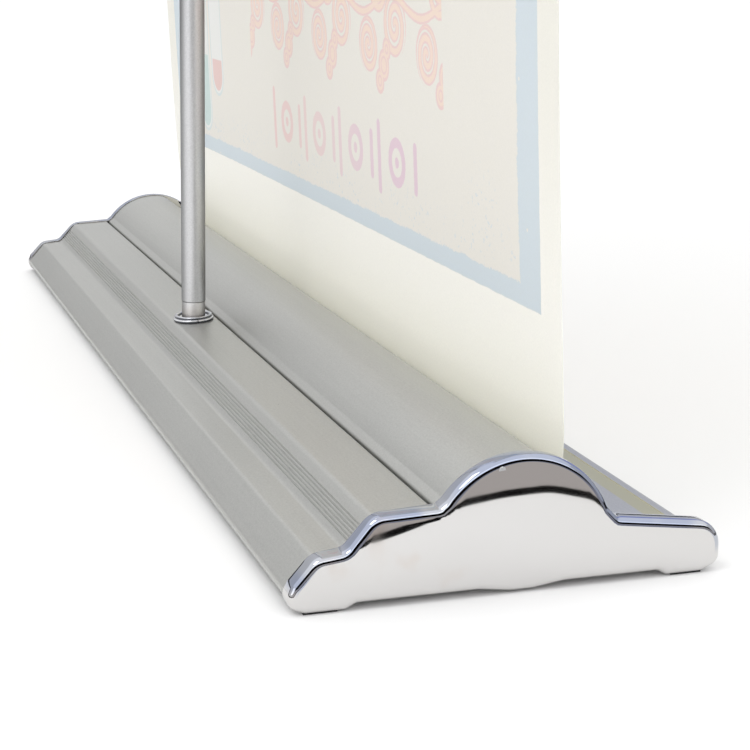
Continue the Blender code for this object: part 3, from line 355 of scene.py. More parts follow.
def flecks(tree, spot, scale, share, radius):
    """Scattered dots: share of the cells that have one, and its radius in cells."""
    made = add(tree, "ShaderNodeTexVoronoi", {"Vector": spot, "Scale": scale})
    chosen = add(tree, "ShaderNodeSeparateColor", {0: made.outputs["Color"]})
    near = Field(tree, made.outputs["Distance"]).step(radius, radius * 0.5)
    return near * Field(tree, chosen.outputs[0]).step(1 - share, 1 - share + 0.01)


def mixed(tree, amount, low, high):
    """Colour from low to high; each is a colour or a socket."""
    made = add(tree, "ShaderNodeMix", data_type="RGBA")
    for key, value in (("A", low), ("B", high)):
        socket = [s for s in made.inputs if s.name == key and s.type == "RGBA"][0]
        if isinstance(value, bpy.types.NodeSocket):
            tree.links.new(value, socket)
        else:
            socket.default_value = (*value, 1)
    factor = [s for s in made.inputs if s.name == "Factor" and s.type == "VALUE"][0]
    tree.links.new(amount.socket, factor)
    return [s for s in made.outputs if s.type == "RGBA"][0]


def new_look(name, metallic=0.0, roughness=0.5):
    look = bpy.data.materials.new(name)
    look.use_nodes = True
    shader = look.node_tree.nodes["Principled BSDF"]
    shader.inputs["Metallic"].default_value = metallic
    shader.inputs["Roughness"].default_value = roughness
    return look, look.node_tree, shader


def bumped(tree, shader, height, distance, strength=1.0):
    made = add(tree, "ShaderNodeBump", {"Height": height.socket, "Distance": distance,
                                        "Strength": strength})
    tree.links.new(made.outputs[0], shader.inputs["Normal"])


# ---- materials ------------------------------------------------------------------------------

CHROME_TINT = (0.675, 0.665, 0.655)


def anodised(name, along, colour=(0.50, 0.503, 0.485), rough=0.40, edge=1.0, marks=(),
             painted_side_shade=0):
    """Satin anodised aluminium, with faint draw lines along X or Z, fine grain and dust.

    marks are (where, colour) pairs; the last argument is how much painted shade darkens it where it
    turns away from the view.
    """
    look, tree, shader = new_look(name, metallic=0.82)
    (x, y, z), spot = places(tree)
    stretch = {"X": (0.006, 1, 1), "Z": (1, 1, 0.006)}[along]
    lines = grain(tree, spot, 900.0, 2.0, stretch)
    sand = grain(tree, spot, 2600.0, 2.0)
    cloud = grain(tree, spot, 5.0, 3.0)
    dust = flecks(tree, spot, 85.0, 0.10, 0.045)
    speckle = grain(tree, spot, 900.0, 3.0)
    shade = (lines.spread(-0.5, 0.5) * 0.25 + sand.spread(-0.5, 0.5) * 0.9
             + speckle.spread(-0.5, 0.5) * 0.9 + cloud.spread(-0.5, 0.5) * 0.25
             + 0.5).math("ADD", 0.0, clamp=True)
    dark = tuple(c * 0.82 for c in colour)
    light = tuple(min(1.0, c * 1.16) for c in colour)
    base = mixed(tree, shade, dark, light)
    for place, colour_there in marks:
        base = mixed(tree, place(x, y, z), base, colour_there)
    # painted shade: colour drawn towards black where the surface turns away from the view
    if painted_side_shade:
        aside = Field(tree, add(tree, "ShaderNodeLayerWeight").outputs["Facing"])
        base = mixed(tree, aside.step(0.0, 0.5) * painted_side_shade, base, (0.02, 0.02, 0.02))
    tree.links.new(mixed(tree, dust * 0.75, base, (0.10, 0.09, 0.08)), shader.inputs["Base Color"])
    shader.inputs["Specular Tint"].default_value = (edge, edge, edge, 1)
    tree.links.new((cloud * 0.10 + sand * 0.10 + (rough - 0.10)).socket, shader.inputs["Roughness"])
    bumped(tree, shader, sand + lines * 0.6, 0.00003, 0.45)
    return look


def chrome(name, tint=CHROME_TINT, painted_zones=()):
    """Mirror plate with faint finger marks, wipe stains and zones of another tint that paint
    reflections.
    """
    look, tree, shader = new_look(name, metallic=1.0)
    (x, y, z), spot = places(tree)
    stain = grain(tree, spot, 26.0, 3.0, offset=(3, 1, 0)).step(0.60, 0.80)
    haze = grain(tree, spot, 9.0, 2.0).step(0.35, 0.8)
    ripple = grain(tree, spot, 45.0, 1.0)
    plate = tint
    for zone, colour in painted_zones:
        plate = mixed(tree, zone(tree, spot, x, y, z), plate, colour)
    stained = mixed(tree, stain * 0.6, plate, (0.60, 0.50, 0.43))
    dust = flecks(tree, spot, 120.0, 0.05, 0.05)
    tree.links.new(mixed(tree, dust * 0.6, stained, (0.25, 0.22, 0.20)), shader.inputs["Base Color"])
    tree.links.new((haze * 0.05 + stain * 0.10 + 0.035).socket, shader.inputs["Roughness"])
    bumped(tree, shader, ripple, 0.00002, 0.25)
    return look


def zinc(name):
    """Zinc-plated steel with cloudy patches."""
    look, tree, shader = new_look(name, metallic=1.0)
    (x, y, z), spot = places(tree)
    patch = grain(tree, spot, 60.0, 4.0)
    fine = grain(tree, spot, 1500.0, 2.0)
    tree.links.new(mixed(tree, patch, (0.42, 0.43, 0.45), (0.62, 0.62, 0.60)),
                   shader.inputs["Base Color"])
    tree.links.new((patch * 0.16 + fine * 0.08 + 0.22).socket, shader.inputs["Roughness"])
    bumped(tree, shader, fine, 0.00004, 0.4)
    return look


def moulded(name, colour, rough=0.42, texture=0.00006):
    """Moulded plastic with a fine leathery skin."""
    look, tree, shader = new_look(name)
    (x, y, z), spot = places(tree)
    skin = grain(tree, spot, 1300.0, 3.0)
    cloud = grain(tree, spot, 30.0, 2.0)
    scuff = grain(tree, spot, 160.0, 3.0, (1, 1, 0.15)).step(0.66, 0.80)
    light = tuple(min(1.0, c * 1.25 + 0.02) for c in colour)
    worn = tuple(min(1.0, c * 1.5 + 0.06) for c in colour)
    base = mixed(tree, cloud, colour, light)
    tree.links.new(mixed(tree, scuff * 0.4, base, worn), shader.inputs["Base Color"])
    tree.links.new((skin * 0.14 + scuff * 0.12 + (rough - 0.07)).socket, shader.inputs["Roughness"])
    bumped(tree, shader, skin, texture, 0.5)
    return look


def rubbery(name):
    """Black rubber, dull and a little dusty."""
    look, tree, shader = new_look(name)
    (x, y, z), spot = places(tree)
    skin = grain(tree, spot, 700.0, 4.0)
    dust = grain(tree, spot, 90.0, 3.0).step(0.55, 0.8)
    tree.links.new(mixed(tree, dust * 0.5, (0.022, 0.022, 0.024), (0.12, 0.115, 0.11)),
                   shader.inputs["Base Color"])
    tree.links.new((skin * 0.15 + 0.75).socket, shader.inputs["Roughness"])
    bumped(tree, shader, skin, 0.00015, 0.6)
    return look


def braid(name):
    """Woven cover of an elastic cord."""
    look, tree, shader = new_look(name)
    (x, y, z), spot = places(tree)
    one = ((x * 900.0 + z * 900.0).math("SINE") + (x * 900.0 - z * 900.0).math("SINE")) * 0.25 + 0.5
    tree.links.new(mixed(tree, one, (0.02, 0.02, 0.024), (0.10, 0.10, 0.11)),
                   shader.inputs["Base Color"])
    tree.links.new((one * 0.1 + 0.8).socket, shader.inputs["Roughness"])
    bumped(tree, shader, one, 0.0002, 0.7)
    return look


# ---- the print ------------------------------------------------------------------------------

FRAME_OUT = 0.4005
FRAME_IN = 0.3742
FRAME_LOW = SLOT_Z + 0.0695
FRAME_LOW_IN = SLOT_Z + 0.0815
FRAME_TOP = SLOT_Z + 1.935
FRAME_TOP_IN = SLOT_Z + 1.921
INK_SOFTNESS = 0.0004
# middle, top, filling's top, foot and filling's ink
CAPSULES = ((0.306, 0.52, 0.152, 0.086, "teal"), (0.262, 0.60, 0.150, 0.120, "brick"))
CAPSULE_RADIUS = 0.019
# half height, half length, height of the middle and place along X of each row
BAR_ROWS = ((0.0235, 0.1635, SLOT_Z + 0.1195, -0.0665), (0.034, 0.22, SLOT_Z + 1.70, 0.0))
BAR_CELL, BAR_OFF, BAR_HALF = 0.0405, 0.0075, 0.0030
SCROLL_CELL, SCROLL_Z = 0.105, SLOT_Z + 0.190
ROUNDEL_Z, ROUNDEL_RADIUS, PETALS = SLOT_Z + 1.07, 0.255, 12
# height over the slot and half length
LONG_BARS = ((0.70, 0.19), (0.672, 0.13), (1.46, 0.21), (1.50, 0.15))


def box_edge(x, z, middle, half):
    """Signed distance to a rectangle, below 0 inside."""
    across = (x - middle[0]).size() - half[0]
    up = (z - middle[1]).size() - half[1]
    return across.most(up)


def disc_edge(x, z, middle, radius):
    dx, dz = x - middle[0], z - middle[1]
    return (dx * dx + dz * dz).math("SQRT") - radius


def capsule_edge(x, z, middle, half_height, radius):
    dx = x - middle[0]
    dz = ((z - middle[1]).size() - half_height).most(0.0)
    return (dx * dx + dz * dz).math("SQRT") - radius


def scroll_edge(x, z, middle, turn, size, thick):
    """Distance to a spiral that winds about middle; turn is 1 or -1."""
    dx, dz = (x - middle[0]) * float(turn), z - middle[1]
    radius = (dx * dx + dz * dz).math("SQRT")
    angle = dz.math("ARCTAN2", dx) / (2 * math.pi)
    wound = radius / size - angle
    nearest = (wound - wound.math("ROUND")).size() * size
    return (radius - size * 2.1).most(nearest - thick)


def inked(edge):
    """1 inside an edge, 0 outside it."""
    return edge.step(INK_SOFTNESS, -INK_SOFTNESS)


def border_inks(tree, x, z, spot, rough, ragged):
    """The paper's field, its border and the border's worn and sprayed foot."""
    middle_z = (FRAME_LOW + FRAME_TOP) / 2
    inner_z = (FRAME_LOW_IN + FRAME_TOP_IN) / 2
    outer = box_edge(x, z, (0, middle_z), (FRAME_OUT, (FRAME_TOP - FRAME_LOW) / 2)) + rough * 0.35
    inner = box_edge(x, z, (0, inner_z), (FRAME_IN, (FRAME_TOP_IN - FRAME_LOW_IN) / 2)) + ragged
    worn = flecks(tree, spot, 130.0, 0.10, 0.16)
    spray = grain(tree, spot, 330.0, 4.0).step(0.60, 0.66)
    near_foot = (z - FRAME_LOW_IN).step(0.034, 0.006) * grain(tree, spot, 22.0, 2.0).step(0.42, 0.6)
    corner = disc_edge(x, z, (-0.325, FRAME_LOW_IN + 0.030), 0.0).step(0.034, 0.010) * 0.8
    return [("paper", inked(outer)), ("blue", inked(outer) * inked(-inner) * (-worn + 1.0)),
            ("blue", spray * inked(inner) * near_foot.most(corner) * 0.75)]


def capsule_inks(x, z):
    """Two tall capsules, each with a filling."""
    inks = []
    for middle, top, fill, foot, name in CAPSULES:
        low, high = SLOT_Z + foot, SLOT_Z + top
        half_height = (high - low) / 2 - CAPSULE_RADIUS
        tube = capsule_edge(x, z, (middle, (low + high) / 2), half_height, CAPSULE_RADIUS)
        inks.append(("outline", inked(tube)))
        inks.append(("glass", inked(tube + 0.0025)))
        inks.append((name, inked(tube + 0.0045) * (z - SLOT_Z).step(fill + 0.001, fill)))
    return inks


def row_inks(x, z, fine):
    """Rows of round-ended bars and rings, low on the film and again at its top."""
    inks = []
    for height, reach, row_z, shift in BAR_ROWS:
        dx = x - shift
        count = (dx / BAR_CELL).math("ROUND")
        local = dx - count * BAR_CELL
        odd = (count * 0.5 - (count * 0.5).math("FLOOR")) * 2.0
        tall = capsule_edge(local, z, (-BAR_OFF, row_z), height - BAR_HALF, BAR_HALF)
        tall = tall.least(capsule_edge(local, z, (BAR_OFF, row_z), height * 0.55, BAR_HALF))
        loop = disc_edge(local, z, (0, row_z), height * 0.52).size() - 0.0032
        loop = loop.least(disc_edge(local, z, (0, row_z), 0.0035))
        row = tall * (-odd + 1.0) + loop * odd + fine * 0.5
        span = inked(dx.size() - reach)
        warm = (x + 0.06).step(-0.12, 0.16)
        inks.append(("rose", inked(row) * span * (-warm + 1.0)))
        inks.append(("blush", inked(row) * span * warm))
    return inks


def scroll_inks(x, z, fine):
    """Scrolls with leaves over the lower row."""
    dx = x + 0.0605
    local = dx - (dx / SCROLL_CELL).math("ROUND") * SCROLL_CELL
    wave = (x * (2 * math.pi / SCROLL_CELL)).math("SINE") * 0.006
    arms = scroll_edge(local, z, (-0.026, SCROLL_Z + 0.012), 1, 0.0088, 0.0019)
    arms = arms.least(scroll_edge(local, z, (0.025, SCROLL_Z - 0.002), -1, 0.0078, 0.0018))
    arms = arms.least(scroll_edge(local, z, (0.002, SCROLL_Z + 0.036), 1, 0.0082, 0.0018))
    stalk = (z - (wave + (SCROLL_Z + 0.024))).size() - 0.0017
    leaf = disc_edge(local, z, (-0.004, SCROLL_Z - 0.013), 0.0085)
    leaf = leaf.least(disc_edge(local, z, (0.004, SCROLL_Z - 0.023), 0.0065))
    leaf = leaf.least(disc_edge(local, z, (-0.010, SCROLL_Z - 0.003), 0.0060))
    vein = leaf.size().least((leaf + 0.0035).size()) - 0.0007
    plant = arms.least(stalk).least(leaf) + fine * 0.4
    span = inked(dx.size() - 0.21)
    return [("blush", inked(plant - 0.0014) * span), ("peach", inked(plant) * span),
            ("blush", inked(vein.most(plant)) * span)]


def roundel_inks(x, z, fine, ragged):
    """A plain roundel in the middle of the graphic, and pairs of bars over and under it."""
    hub = (0.0, ROUNDEL_Z)
    round_edge = disc_edge(x, z, hub, ROUNDEL_RADIUS)
    inks = [("blue", inked(round_edge.size() - 0.011 + ragged)),
            ("rose", inked((round_edge + 0.034).size() - 0.004 + fine))]
    angle = ((z - ROUNDEL_Z).math("ARCTAN2", x) * float(PETALS)).math("SINE")
    petals = (disc_edge(x, z, hub, 0.150) - angle * 0.030) + fine
    inks += [("peach", inked(petals)), ("rose", inked(petals.size() - 0.004)),
             ("paper", inked(disc_edge(x, z, hub, 0.070))),
             ("teal", inked(disc_edge(x, z, hub, 0.052) + ragged))]
    for up, wide in LONG_BARS:
        inks.append(("blue", inked(box_edge(x, z, (0, SLOT_Z + up), (wide, 0.0055)) + ragged * 0.6)))
    return inks


def print_inks(tree, x, z, spot):
    """Masks of the print's shapes in the order they are laid down, each with its ink's name."""
    rough = grain(tree, spot, 95.0, 4.0).spread(-1.0, 1.0) * 0.0020
    fine = grain(tree, spot, 520.0, 3.0).spread(-1.0, 1.0) * 0.0016
    ragged = rough + fine
    return (border_inks(tree, x, z, spot, rough, ragged) + capsule_inks(x, z) + row_inks(x, z, fine)
            + scroll_inks(x, z, fine) + roundel_inks(x, z, fine, ragged))


FRONT_INKS = {"paper": (0.86, 0.83, 0.70), "blue": (0.10, 0.27, 0.47),
              "rose": (0.42, 0.07, 0.12), "blush": (0.62, 0.16, 0.10),
              "peach": (0.86, 0.34, 0.13), "teal": (0.12, 0.42, 0.42),
              "brick": (0.52, 0.08, 0.05), "outline": (0.14, 0.18, 0.22),
              "glass": (0.80, 0.84, 0.86)}
# the same inks as they show through from behind
BACK_INKS = {"paper": (0.699, 0.670, 0.615), "blue": (0.515, 0.586, 0.641),
             "rose": (0.644, 0.477, 0.557), "blush": (0.712, 0.502, 0.494),
             "peach": (0.762, 0.586, 0.502), "teal": (0.486, 0.602, 0.586),
             "brick": (0.670, 0.469, 0.452), "outline": (0.578, 0.636, 0.628),
             "glass": (0.703, 0.707, 0.686)}


def film_look(name, blank, inks, rough):
    """One side of the printed film."""
    look, tree, shader = new_look(name, roughness=rough)
    (x, y, z), spot = places(tree)
    cloud = grain(tree, spot, 7.0, 3.0)
    tooth = grain(tree, spot, 1700.0, 2.0)
    colour = mixed(tree, cloud, tuple(c * 0.975 for c in blank), blank)
    # painted light: the paper lighter towards the slot, against the shade low on the film
    painted_light_low = (z - SLOT_Z).step(0.20, 0.0)
    colour = mixed(tree, painted_light_low, colour, tuple(min(0.97, c * 1.28) for c in blank))
    # yellowed near the slot, in a colour also raised to paint light there
    yellowed_and_painted_light = (z - SLOT_Z).step(0.085, -0.01) * 0.5
    colour = mixed(tree, yellowed_and_painted_light, colour, (0.95, 0.92, 0.70))
    for ink, mask in print_inks(tree, x, z, spot):
        colour = mixed(tree, mask, colour, inks[ink])
    fleck = flecks(tree, spot, 46.0, 0.06, 0.025)
    colour = mixed(tree, fleck * 0.5, colour, (0.35, 0.32, 0.27))
    shade = (tooth + grain(tree, spot, 800.0, 2.0)).spread(-0.5, 0.5) * 0.16
    colour = mixed(tree, shade.math("ADD", 0.0, clamp=True), colour, (0.42, 0.42, 0.40))
    shader.inputs["Subsurface Weight"].default_value = 0.6
    shader.inputs["Subsurface Radius"].default_value = (1.0, 1.0, 0.9)
    shader.inputs["Subsurface Scale"].default_value = 0.002
    tree.links.new(colour, shader.inputs["Base Color"])
    tree.links.new((tooth * 0.12 + cloud * 0.06 + (rough - 0.09)).socket, shader.inputs["Roughness"])
    bumped(tree, shader, tooth, 0.00002, 0.3)
    return look


def stripe(x, y, z):
    """Where the tinted stripe in the front deck's recess is."""
    start = DECK_START[0] + FRONT_INSET
    return (y - (start - FRONT_BAND[1])).step(-0.0002, 0.0002) * (
        y - (start - FRONT_BAND[0])).step(0.0002, -0.0002)


def painted_ring_shade(x, y, z):
    """Painted shade where the ferrule meets its ring."""
    return (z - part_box("pole_ring")[1].z).step(0.012, -0.002) * 0.75


def foot_of_rim(tree, spot, x, y, z):
    """The low part of a cap's rim, as bright as its face, without the rim's painted reflection."""
    return z.step(0.016, 0.009)


def painted_pale_reflections(tree, spot, x, y, z):
    """Paler lengths along a cap's rim: painted reflection."""
    return grain(tree, spot, 28.0, 1.0, (0.2, 1, 1)).step(0.46, 0.60) * 0.8


def ring_height(y, z):
    """Height over the rear deck's slightly sloping top."""
    return z - REAR_DECK_Z + (y - REAR_TOP_Y) * (DECK_FALL / DECK_RUN)


def ring_edge(tree, spot, x, y, z):
    """Painted highlight on the edge between the ring's two tiers."""
    height = ring_height(y, z)
    return height.step(0.0012, 0.0016) * height.step(0.0026, 0.0022)


def painted_chamfer_reflection(tree, spot, x, y, z):
    """Painted reflection on the ring's upper chamfer."""
    return ring_height(y, z).step(0.0034, 0.0040)


LOOKS = {
    "deck": anodised("anodised_base", "X"),
    "front": anodised("anodised_front", "X", marks=[(stripe, (0.52, 0.50, 0.335))]),
    # the pole's tubes and ferrule get painted shade along their sides
    "tube": anodised("anodised_pole", "Z", (0.72, 0.725, 0.74), 0.36, edge=0.35, painted_side_shade=0.54),
    # the ferrule's mark is painted shade just over the ring
    "ferrule": anodised("anodised_ferrule", "Z", (0.88, 0.89, 0.91), 0.42, edge=0.35, painted_side_shade=0.5,
                        marks=[(painted_ring_shade, (0.56, 0.52, 0.49))]),
    "rail": anodised("anodised_rail", "X", (0.60, 0.60, 0.59), 0.38),
    "chrome": chrome("mirror_plate"),
    # the rims' dark blue tint and paler lengths are painted reflection
    "rim": chrome("rim_plate_painted_reflection", (0.36, 0.395, 0.50), [(painted_pale_reflections, (0.52, 0.535, 0.57)),
                                                    (foot_of_rim, CHROME_TINT)]),
    # the ring's near-black tint is painted dark reflection; its pale edge and chamfer are painted
    # highlights
    "ring": chrome("ring_plate_painted_reflection", (0.09, 0.095, 0.11), [(ring_edge, (0.80, 0.81, 0.84)),
                                                     (painted_chamfer_reflection, (0.62, 0.63, 0.67))]),
    "zinc": zinc("zinc_plate"),
    "black": moulded("black_plastic", (0.025, 0.025, 0.027)),
    "grey": moulded("grey_plastic", (0.30, 0.31, 0.33)),
    "rubber": rubbery("pad_rubber"),
    "cord": braid("braided_cord"),
    "film_back": film_look("film_back", (0.755, 0.735, 0.660), BACK_INKS, 0.50),
    "film_front": film_look("film_front", (0.900, 0.880, 0.760), FRONT_INKS, 0.42),
}


# ---- pieces ---------------------------------------------------------------------------------

def linked(obj):
    bpy.context.scene.collection.objects.link(obj)
    return obj


def smooth(obj, degrees=35):
    obj.data.shade_smooth()
    obj.data.set_sharp_from_angle(angle=math.radians(degrees))
    return obj


def piece(obj, body, slot, *stands_for):
    """Put a finished piece on its body in place of its CAD nodes."""
    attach(obj, body)
    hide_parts(*stands_for)
    return obj


def from_bmesh(name, body, look):
    """A closed body's mesh, merged and with its faces turned outwards."""
    bmesh.ops.remove_doubles(body, verts=body.verts, dist=0.000002)
    bmesh.ops.dissolve_degenerate(body, edges=body.edges, dist=0.0000005)
    bmesh.ops.recalc_face_normals(body, faces=body.faces)
    mesh = bpy.data.meshes.new(name)
    body.to_mesh(mesh)
    body.free()
    mesh.materials.append(LOOKS[look])
    return linked(bpy.data.objects.new(name, mesh))


def turned(name, profile, look, centre, steps=72):
    """A closed (radius, height) line spun about a vertical line through centre."""
    body = bmesh.new()
    rings = []
    for step in range(steps):
        angle = 2 * math.pi * step / steps
        rings.append([body.verts.new((centre[0] + radius * math.cos(angle),
                                      centre[1] + radius * math.sin(angle), height))
                      for radius, height in profile])
    count = len(profile)
    for step in range(steps):
        a, b = rings[step], rings[(step + 1) % steps]
        for i in range(count):
            j = (i + 1) % count
            if profile[i][0] + profile[j][0] > 0:
                body.faces.new((a[i], b[i], b[j], a[j]))
    return smooth(from_bmesh(name, body, look))


def outline_mesh(name, outline):
    """A closed line drawn flat, ready for a tree to pull."""
    mesh = bpy.data.meshes.new(name)
    count = len(outline)
    mesh.from_pydata([(y, z, 0) for y, z in outline], [(i, (i + 1) % count) for i in range(count)], [])
    return mesh


def tree_with(name, sizes):
    """A Geometry Nodes tree with a mesh in, a mesh out and named sizes."""
    tree = bpy.data.node_groups.new(name, "GeometryNodeTree")
    tree.interface.new_socket("Geometry", in_out="INPUT", socket_type="NodeSocketGeometry")
    for label, kind in sizes.items():
        tree.interface.new_socket(label, in_out="INPUT", socket_type="NodeSocket" + kind)
    tree.interface.new_socket("Finish", in_out="INPUT", socket_type="NodeSocketMaterial")
    tree.interface.new_socket("Geometry", in_out="OUTPUT", socket_type="NodeSocketGeometry")
    return tree, tree.nodes.new("NodeGroupInput").outputs


def close_tree(tree, made, finish):
    real = add(tree, "GeometryNodeRealizeInstances", {0: made})
    coated = add(tree, "GeometryNodeSetMaterial", {"Geometry": real.outputs[0], "Material": finish})
    add(tree, "NodeGroupOutput", {0: coated.outputs[0]})
    return tree


def grown(name, mesh, tree, look, sizes):
    """What a tree makes of a mesh, as a plain mesh."""
    obj = linked(bpy.data.objects.new(name, mesh))
    step = obj.modifiers.new("grow", "NODES")
    step.node_group = tree
    for item in tree.interface.items_tree:
        if item.in_out == "INPUT" and item.name in sizes:
            step[item.identifier] = sizes[item.name]
        if item.in_out == "INPUT" and item.name == "Finish":
            step[item.identifier] = LOOKS[look]
    depsgraph = bpy.context.evaluated_depsgraph_get()
    made = bpy.data.meshes.new_from_object(obj.evaluated_get(depsgraph), depsgraph=depsgraph)
    made.name = name
    obj.modifiers.clear()
    obj.data = made
    return obj


def pulled_shape(tree, given):
    """An outline filled and pulled along X to its length, about X = 0."""
    line = add(tree, "GeometryNodeMeshToCurve", {"Mesh": given["Geometry"]})
    flat = add(tree, "GeometryNodeFillCurve", {"Curve": line.outputs[0]}, mode="NGONS")
    up = add(tree, "ShaderNodeCombineXYZ", {"Z": given["Length"]})
    pull = add(tree, "GeometryNodeExtrudeMesh", {"Mesh": flat.outputs[0], "Offset": up.outputs[0],
                                                 "Individual": False})
    under = add(tree, "GeometryNodeFlipFaces", {0: flat.outputs[0]})
    whole = add(tree, "GeometryNodeJoinGeometry")
    tree.links.new(under.outputs[0], whole.inputs[0])
    tree.links.new(pull.outputs[0], whole.inputs[0])
    shut = add(tree, "GeometryNodeMergeByDistance", {"Geometry": whole.outputs[0], "Distance": 0.000002})
    back = add(tree, "ShaderNodeMath", {0: given["Length"], 1: -0.5}, operation="MULTIPLY")
    down = add(tree, "ShaderNodeCombineXYZ", {"Z": back.outputs[0]})
    centred = add(tree, "GeometryNodeTransform", {"Geometry": shut.outputs[0],
                                                  "Translation": down.outputs[0]})
    quarter = math.pi / 2
    laid = add(tree, "GeometryNodeTransform", {"Geometry": centred.outputs[0],
                                               "Rotation": (quarter, 0, quarter)})
    return laid.outputs[0]


def extrusion_tree():
    tree, given = tree_with("extrusion", {"Length": "Float"})
    return close_tree(tree, pulled_shape(tree, given), given["Finish"])


EXTRUSION = extrusion_tree()


def carved(obj, cutter):
    """The object less its cutter, which is used up."""
    step = obj.modifiers.new("carve", "BOOLEAN")
    step.operation = "DIFFERENCE"
    step.solver = "EXACT"
    step.object = cutter
    depsgraph = bpy.context.evaluated_depsgraph_get()
    made = bpy.data.meshes.new_from_object(obj.evaluated_get(depsgraph), depsgraph=depsgraph)
    obj.modifiers.clear()
    obj.data = made
    bpy.data.objects.remove(cutter)
    return obj


def cut_round(obj, x, y, radius, low, high):
    """Drill a round vertical hole."""
    body = bmesh.new()
    bmesh.ops.create_cone(body, cap_ends=True, segments=64, radius1=radius, radius2=radius,
                          depth=high - low)
    bmesh.ops.translate(body, vec=(x, y, (low + high) / 2), verts=body.verts)
    return carved(obj, from_bmesh("hole", body, "deck"))


POLE_HOLE = 9.2 * MM


def build_sections():
    length = 2 * SECTION_X
    outline = rear_deck_path(True) + shifted(rear_deck_path(), WALL)[::-1]
    deck = grown("rear_section", outline_mesh("rear", outline), EXTRUSION, "deck", {"Length": length})
    cut_round(deck, 0, POLE_Y, POLE_HOLE, REAR_DECK_Z - 9.6 * MM, REAR_DECK_Z + 2.4 * MM)
    piece(smooth(deck), "base", "anodised_aluminium", "rear_deck")
    cover = grown("roller_section", outline_mesh("cover", walled(cover_path(), WALL)), EXTRUSION,
                  "deck", {"Length": length})
    piece(smooth(cover), "base", "anodised_aluminium", "roller_cover")
    front = grown("front_section", outline_mesh("front", walled(front_deck_path(), WALL)), EXTRUSION,
                  "front", {"Length": length})
    piece(smooth(front), "base", "anodised_aluminium", "front_deck")


build_sections()


# ---- end caps -------------------------------------------------------------------------------

RIM_ROUND = 3.6 * MM
CORNER_SOFTNESS = 2.3
FACE_BEND = 4.86
RIM_SPACING, FACE_SPACING, POCKET_SPACING = 1.3 * MM, 2.2 * MM, 3 * MM
POCKET_FLOOR = 5.0 * MM
LOW_ENDS = 13.5 * MM
# across the cap (mm): up to what height the plated face is flat before it bends back
FLAT_UP_TO = ((-115, 4), (-100, 6), (-80, 10), (-60, 15), (-49, 12), (-39.5, 23), (-16, 32.6),
              (9, 31.3), (34, 26.3), (44.5, 18), (60, 11), (77, 5), (84.5, 7), (100, 9), (118, 3))


def cap_outline():
    """A cap's outer line: the skyline, two flat feet, a low arch and a bump between them."""
    rear, front, foot = REAR_TUCK[0], FRONT_TUCK[0], 0.5 * MM
    arch = UNDERSIDE_Z - CAP_LIP - FIT
    bump, wide = HUMP[0], 17.0 * MM
    low = [(front + 25 * MM, foot, 2 * MM), (front + 30 * MM, arch, 2 * MM),
           (bump - wide * 1.35, arch, 9 * MM), (bump - wide * 0.35, foot + 0.5 * MM, 9 * MM),
           (bump + wide * 0.35, foot + 0.5 * MM, 9 * MM), (bump + wide * 1.35, arch, 9 * MM),
           (rear - 31 * MM, arch, 2 * MM), (rear - 26 * MM, foot, 2 * MM)]
    sky = skyline((rear, UNDERSIDE_Z - 4 * MM, 0), (front, UNDERSIDE_Z - 4 * MM, 0), 0,
                  CORNER_SOFTNESS)
    line = [(y, z, 0) for y, z in shifted(sky, -CAP_LIP) if z > LOW_ENDS]
    line += [(FRONT_LIP[0] - CAP_LIP, 5 * MM, 6.5 * MM), (front + 5 * MM, foot, 4 * MM)] + low
    line += [(rear - 5 * MM, foot, 4 * MM), (REAR_LIP[0] + CAP_LIP, 5 * MM, 6.5 * MM)]
    return evened(rounded(line, 8, closed=True), RIM_SPACING)


def evened(loop, spacing):
    """A closed line resampled so that its points are about equally far apart."""
    points = np.array(loop + loop[:1])
    runs = np.hypot(*np.diff(points, axis=0).T)
    at = np.concatenate([[0], np.cumsum(runs)])
    wanted = np.linspace(0, at[-1], int(at[-1] / spacing), endpoint=False)
    return list(zip(np.interp(wanted, at, points[:, 0]).tolist(),
                    np.interp(wanted, at, points[:, 1]).tolist()))


def inside_points(loop, spacing, margin):
    """Staggered points inside a closed line, no nearer to it than margin."""
    ring = np.array(loop)
    after = np.roll(ring, -1, axis=0)
    low, high = ring.min(0), ring.max(0)
    found = []
    for row, z in enumerate(np.arange(low[1], high[1], spacing * 0.87)):
        for y in np.arange(low[0] + (row % 2) * spacing / 2, high[0], spacing):
            crosses = (ring[:, 1] > z) != (after[:, 1] > z)
            slant = (after[:, 0] - ring[:, 0]) / np.where(crosses, after[:, 1] - ring[:, 1], 1)
            hits = crosses & (y < ring[:, 0] + (z - ring[:, 1]) * slant)
            if hits.sum() % 2 and np.hypot(ring[:, 0] - y, ring[:, 1] - z).min() > margin:
                found.append((y, z))
    return found


def flat_line():
    """FLAT_UP_TO as an even, smoothed row of heights."""
    across = np.arange(-0.14, 0.14, 0.001)
    heights = np.interp(across, *(np.array(FLAT_UP_TO).T * MM))
    spread = np.exp(-0.5 * (np.arange(-20, 21) / 5.0) ** 2)
    return across, np.convolve(np.pad(heights, 20, mode="edge"), spread / spread.sum(), "valid")


def bend(y, z, line):
    """How far the plated face has bent back at a point."""
    return FACE_BEND / 2 * max(0.0, z - np.interp(y, *line)) ** 2


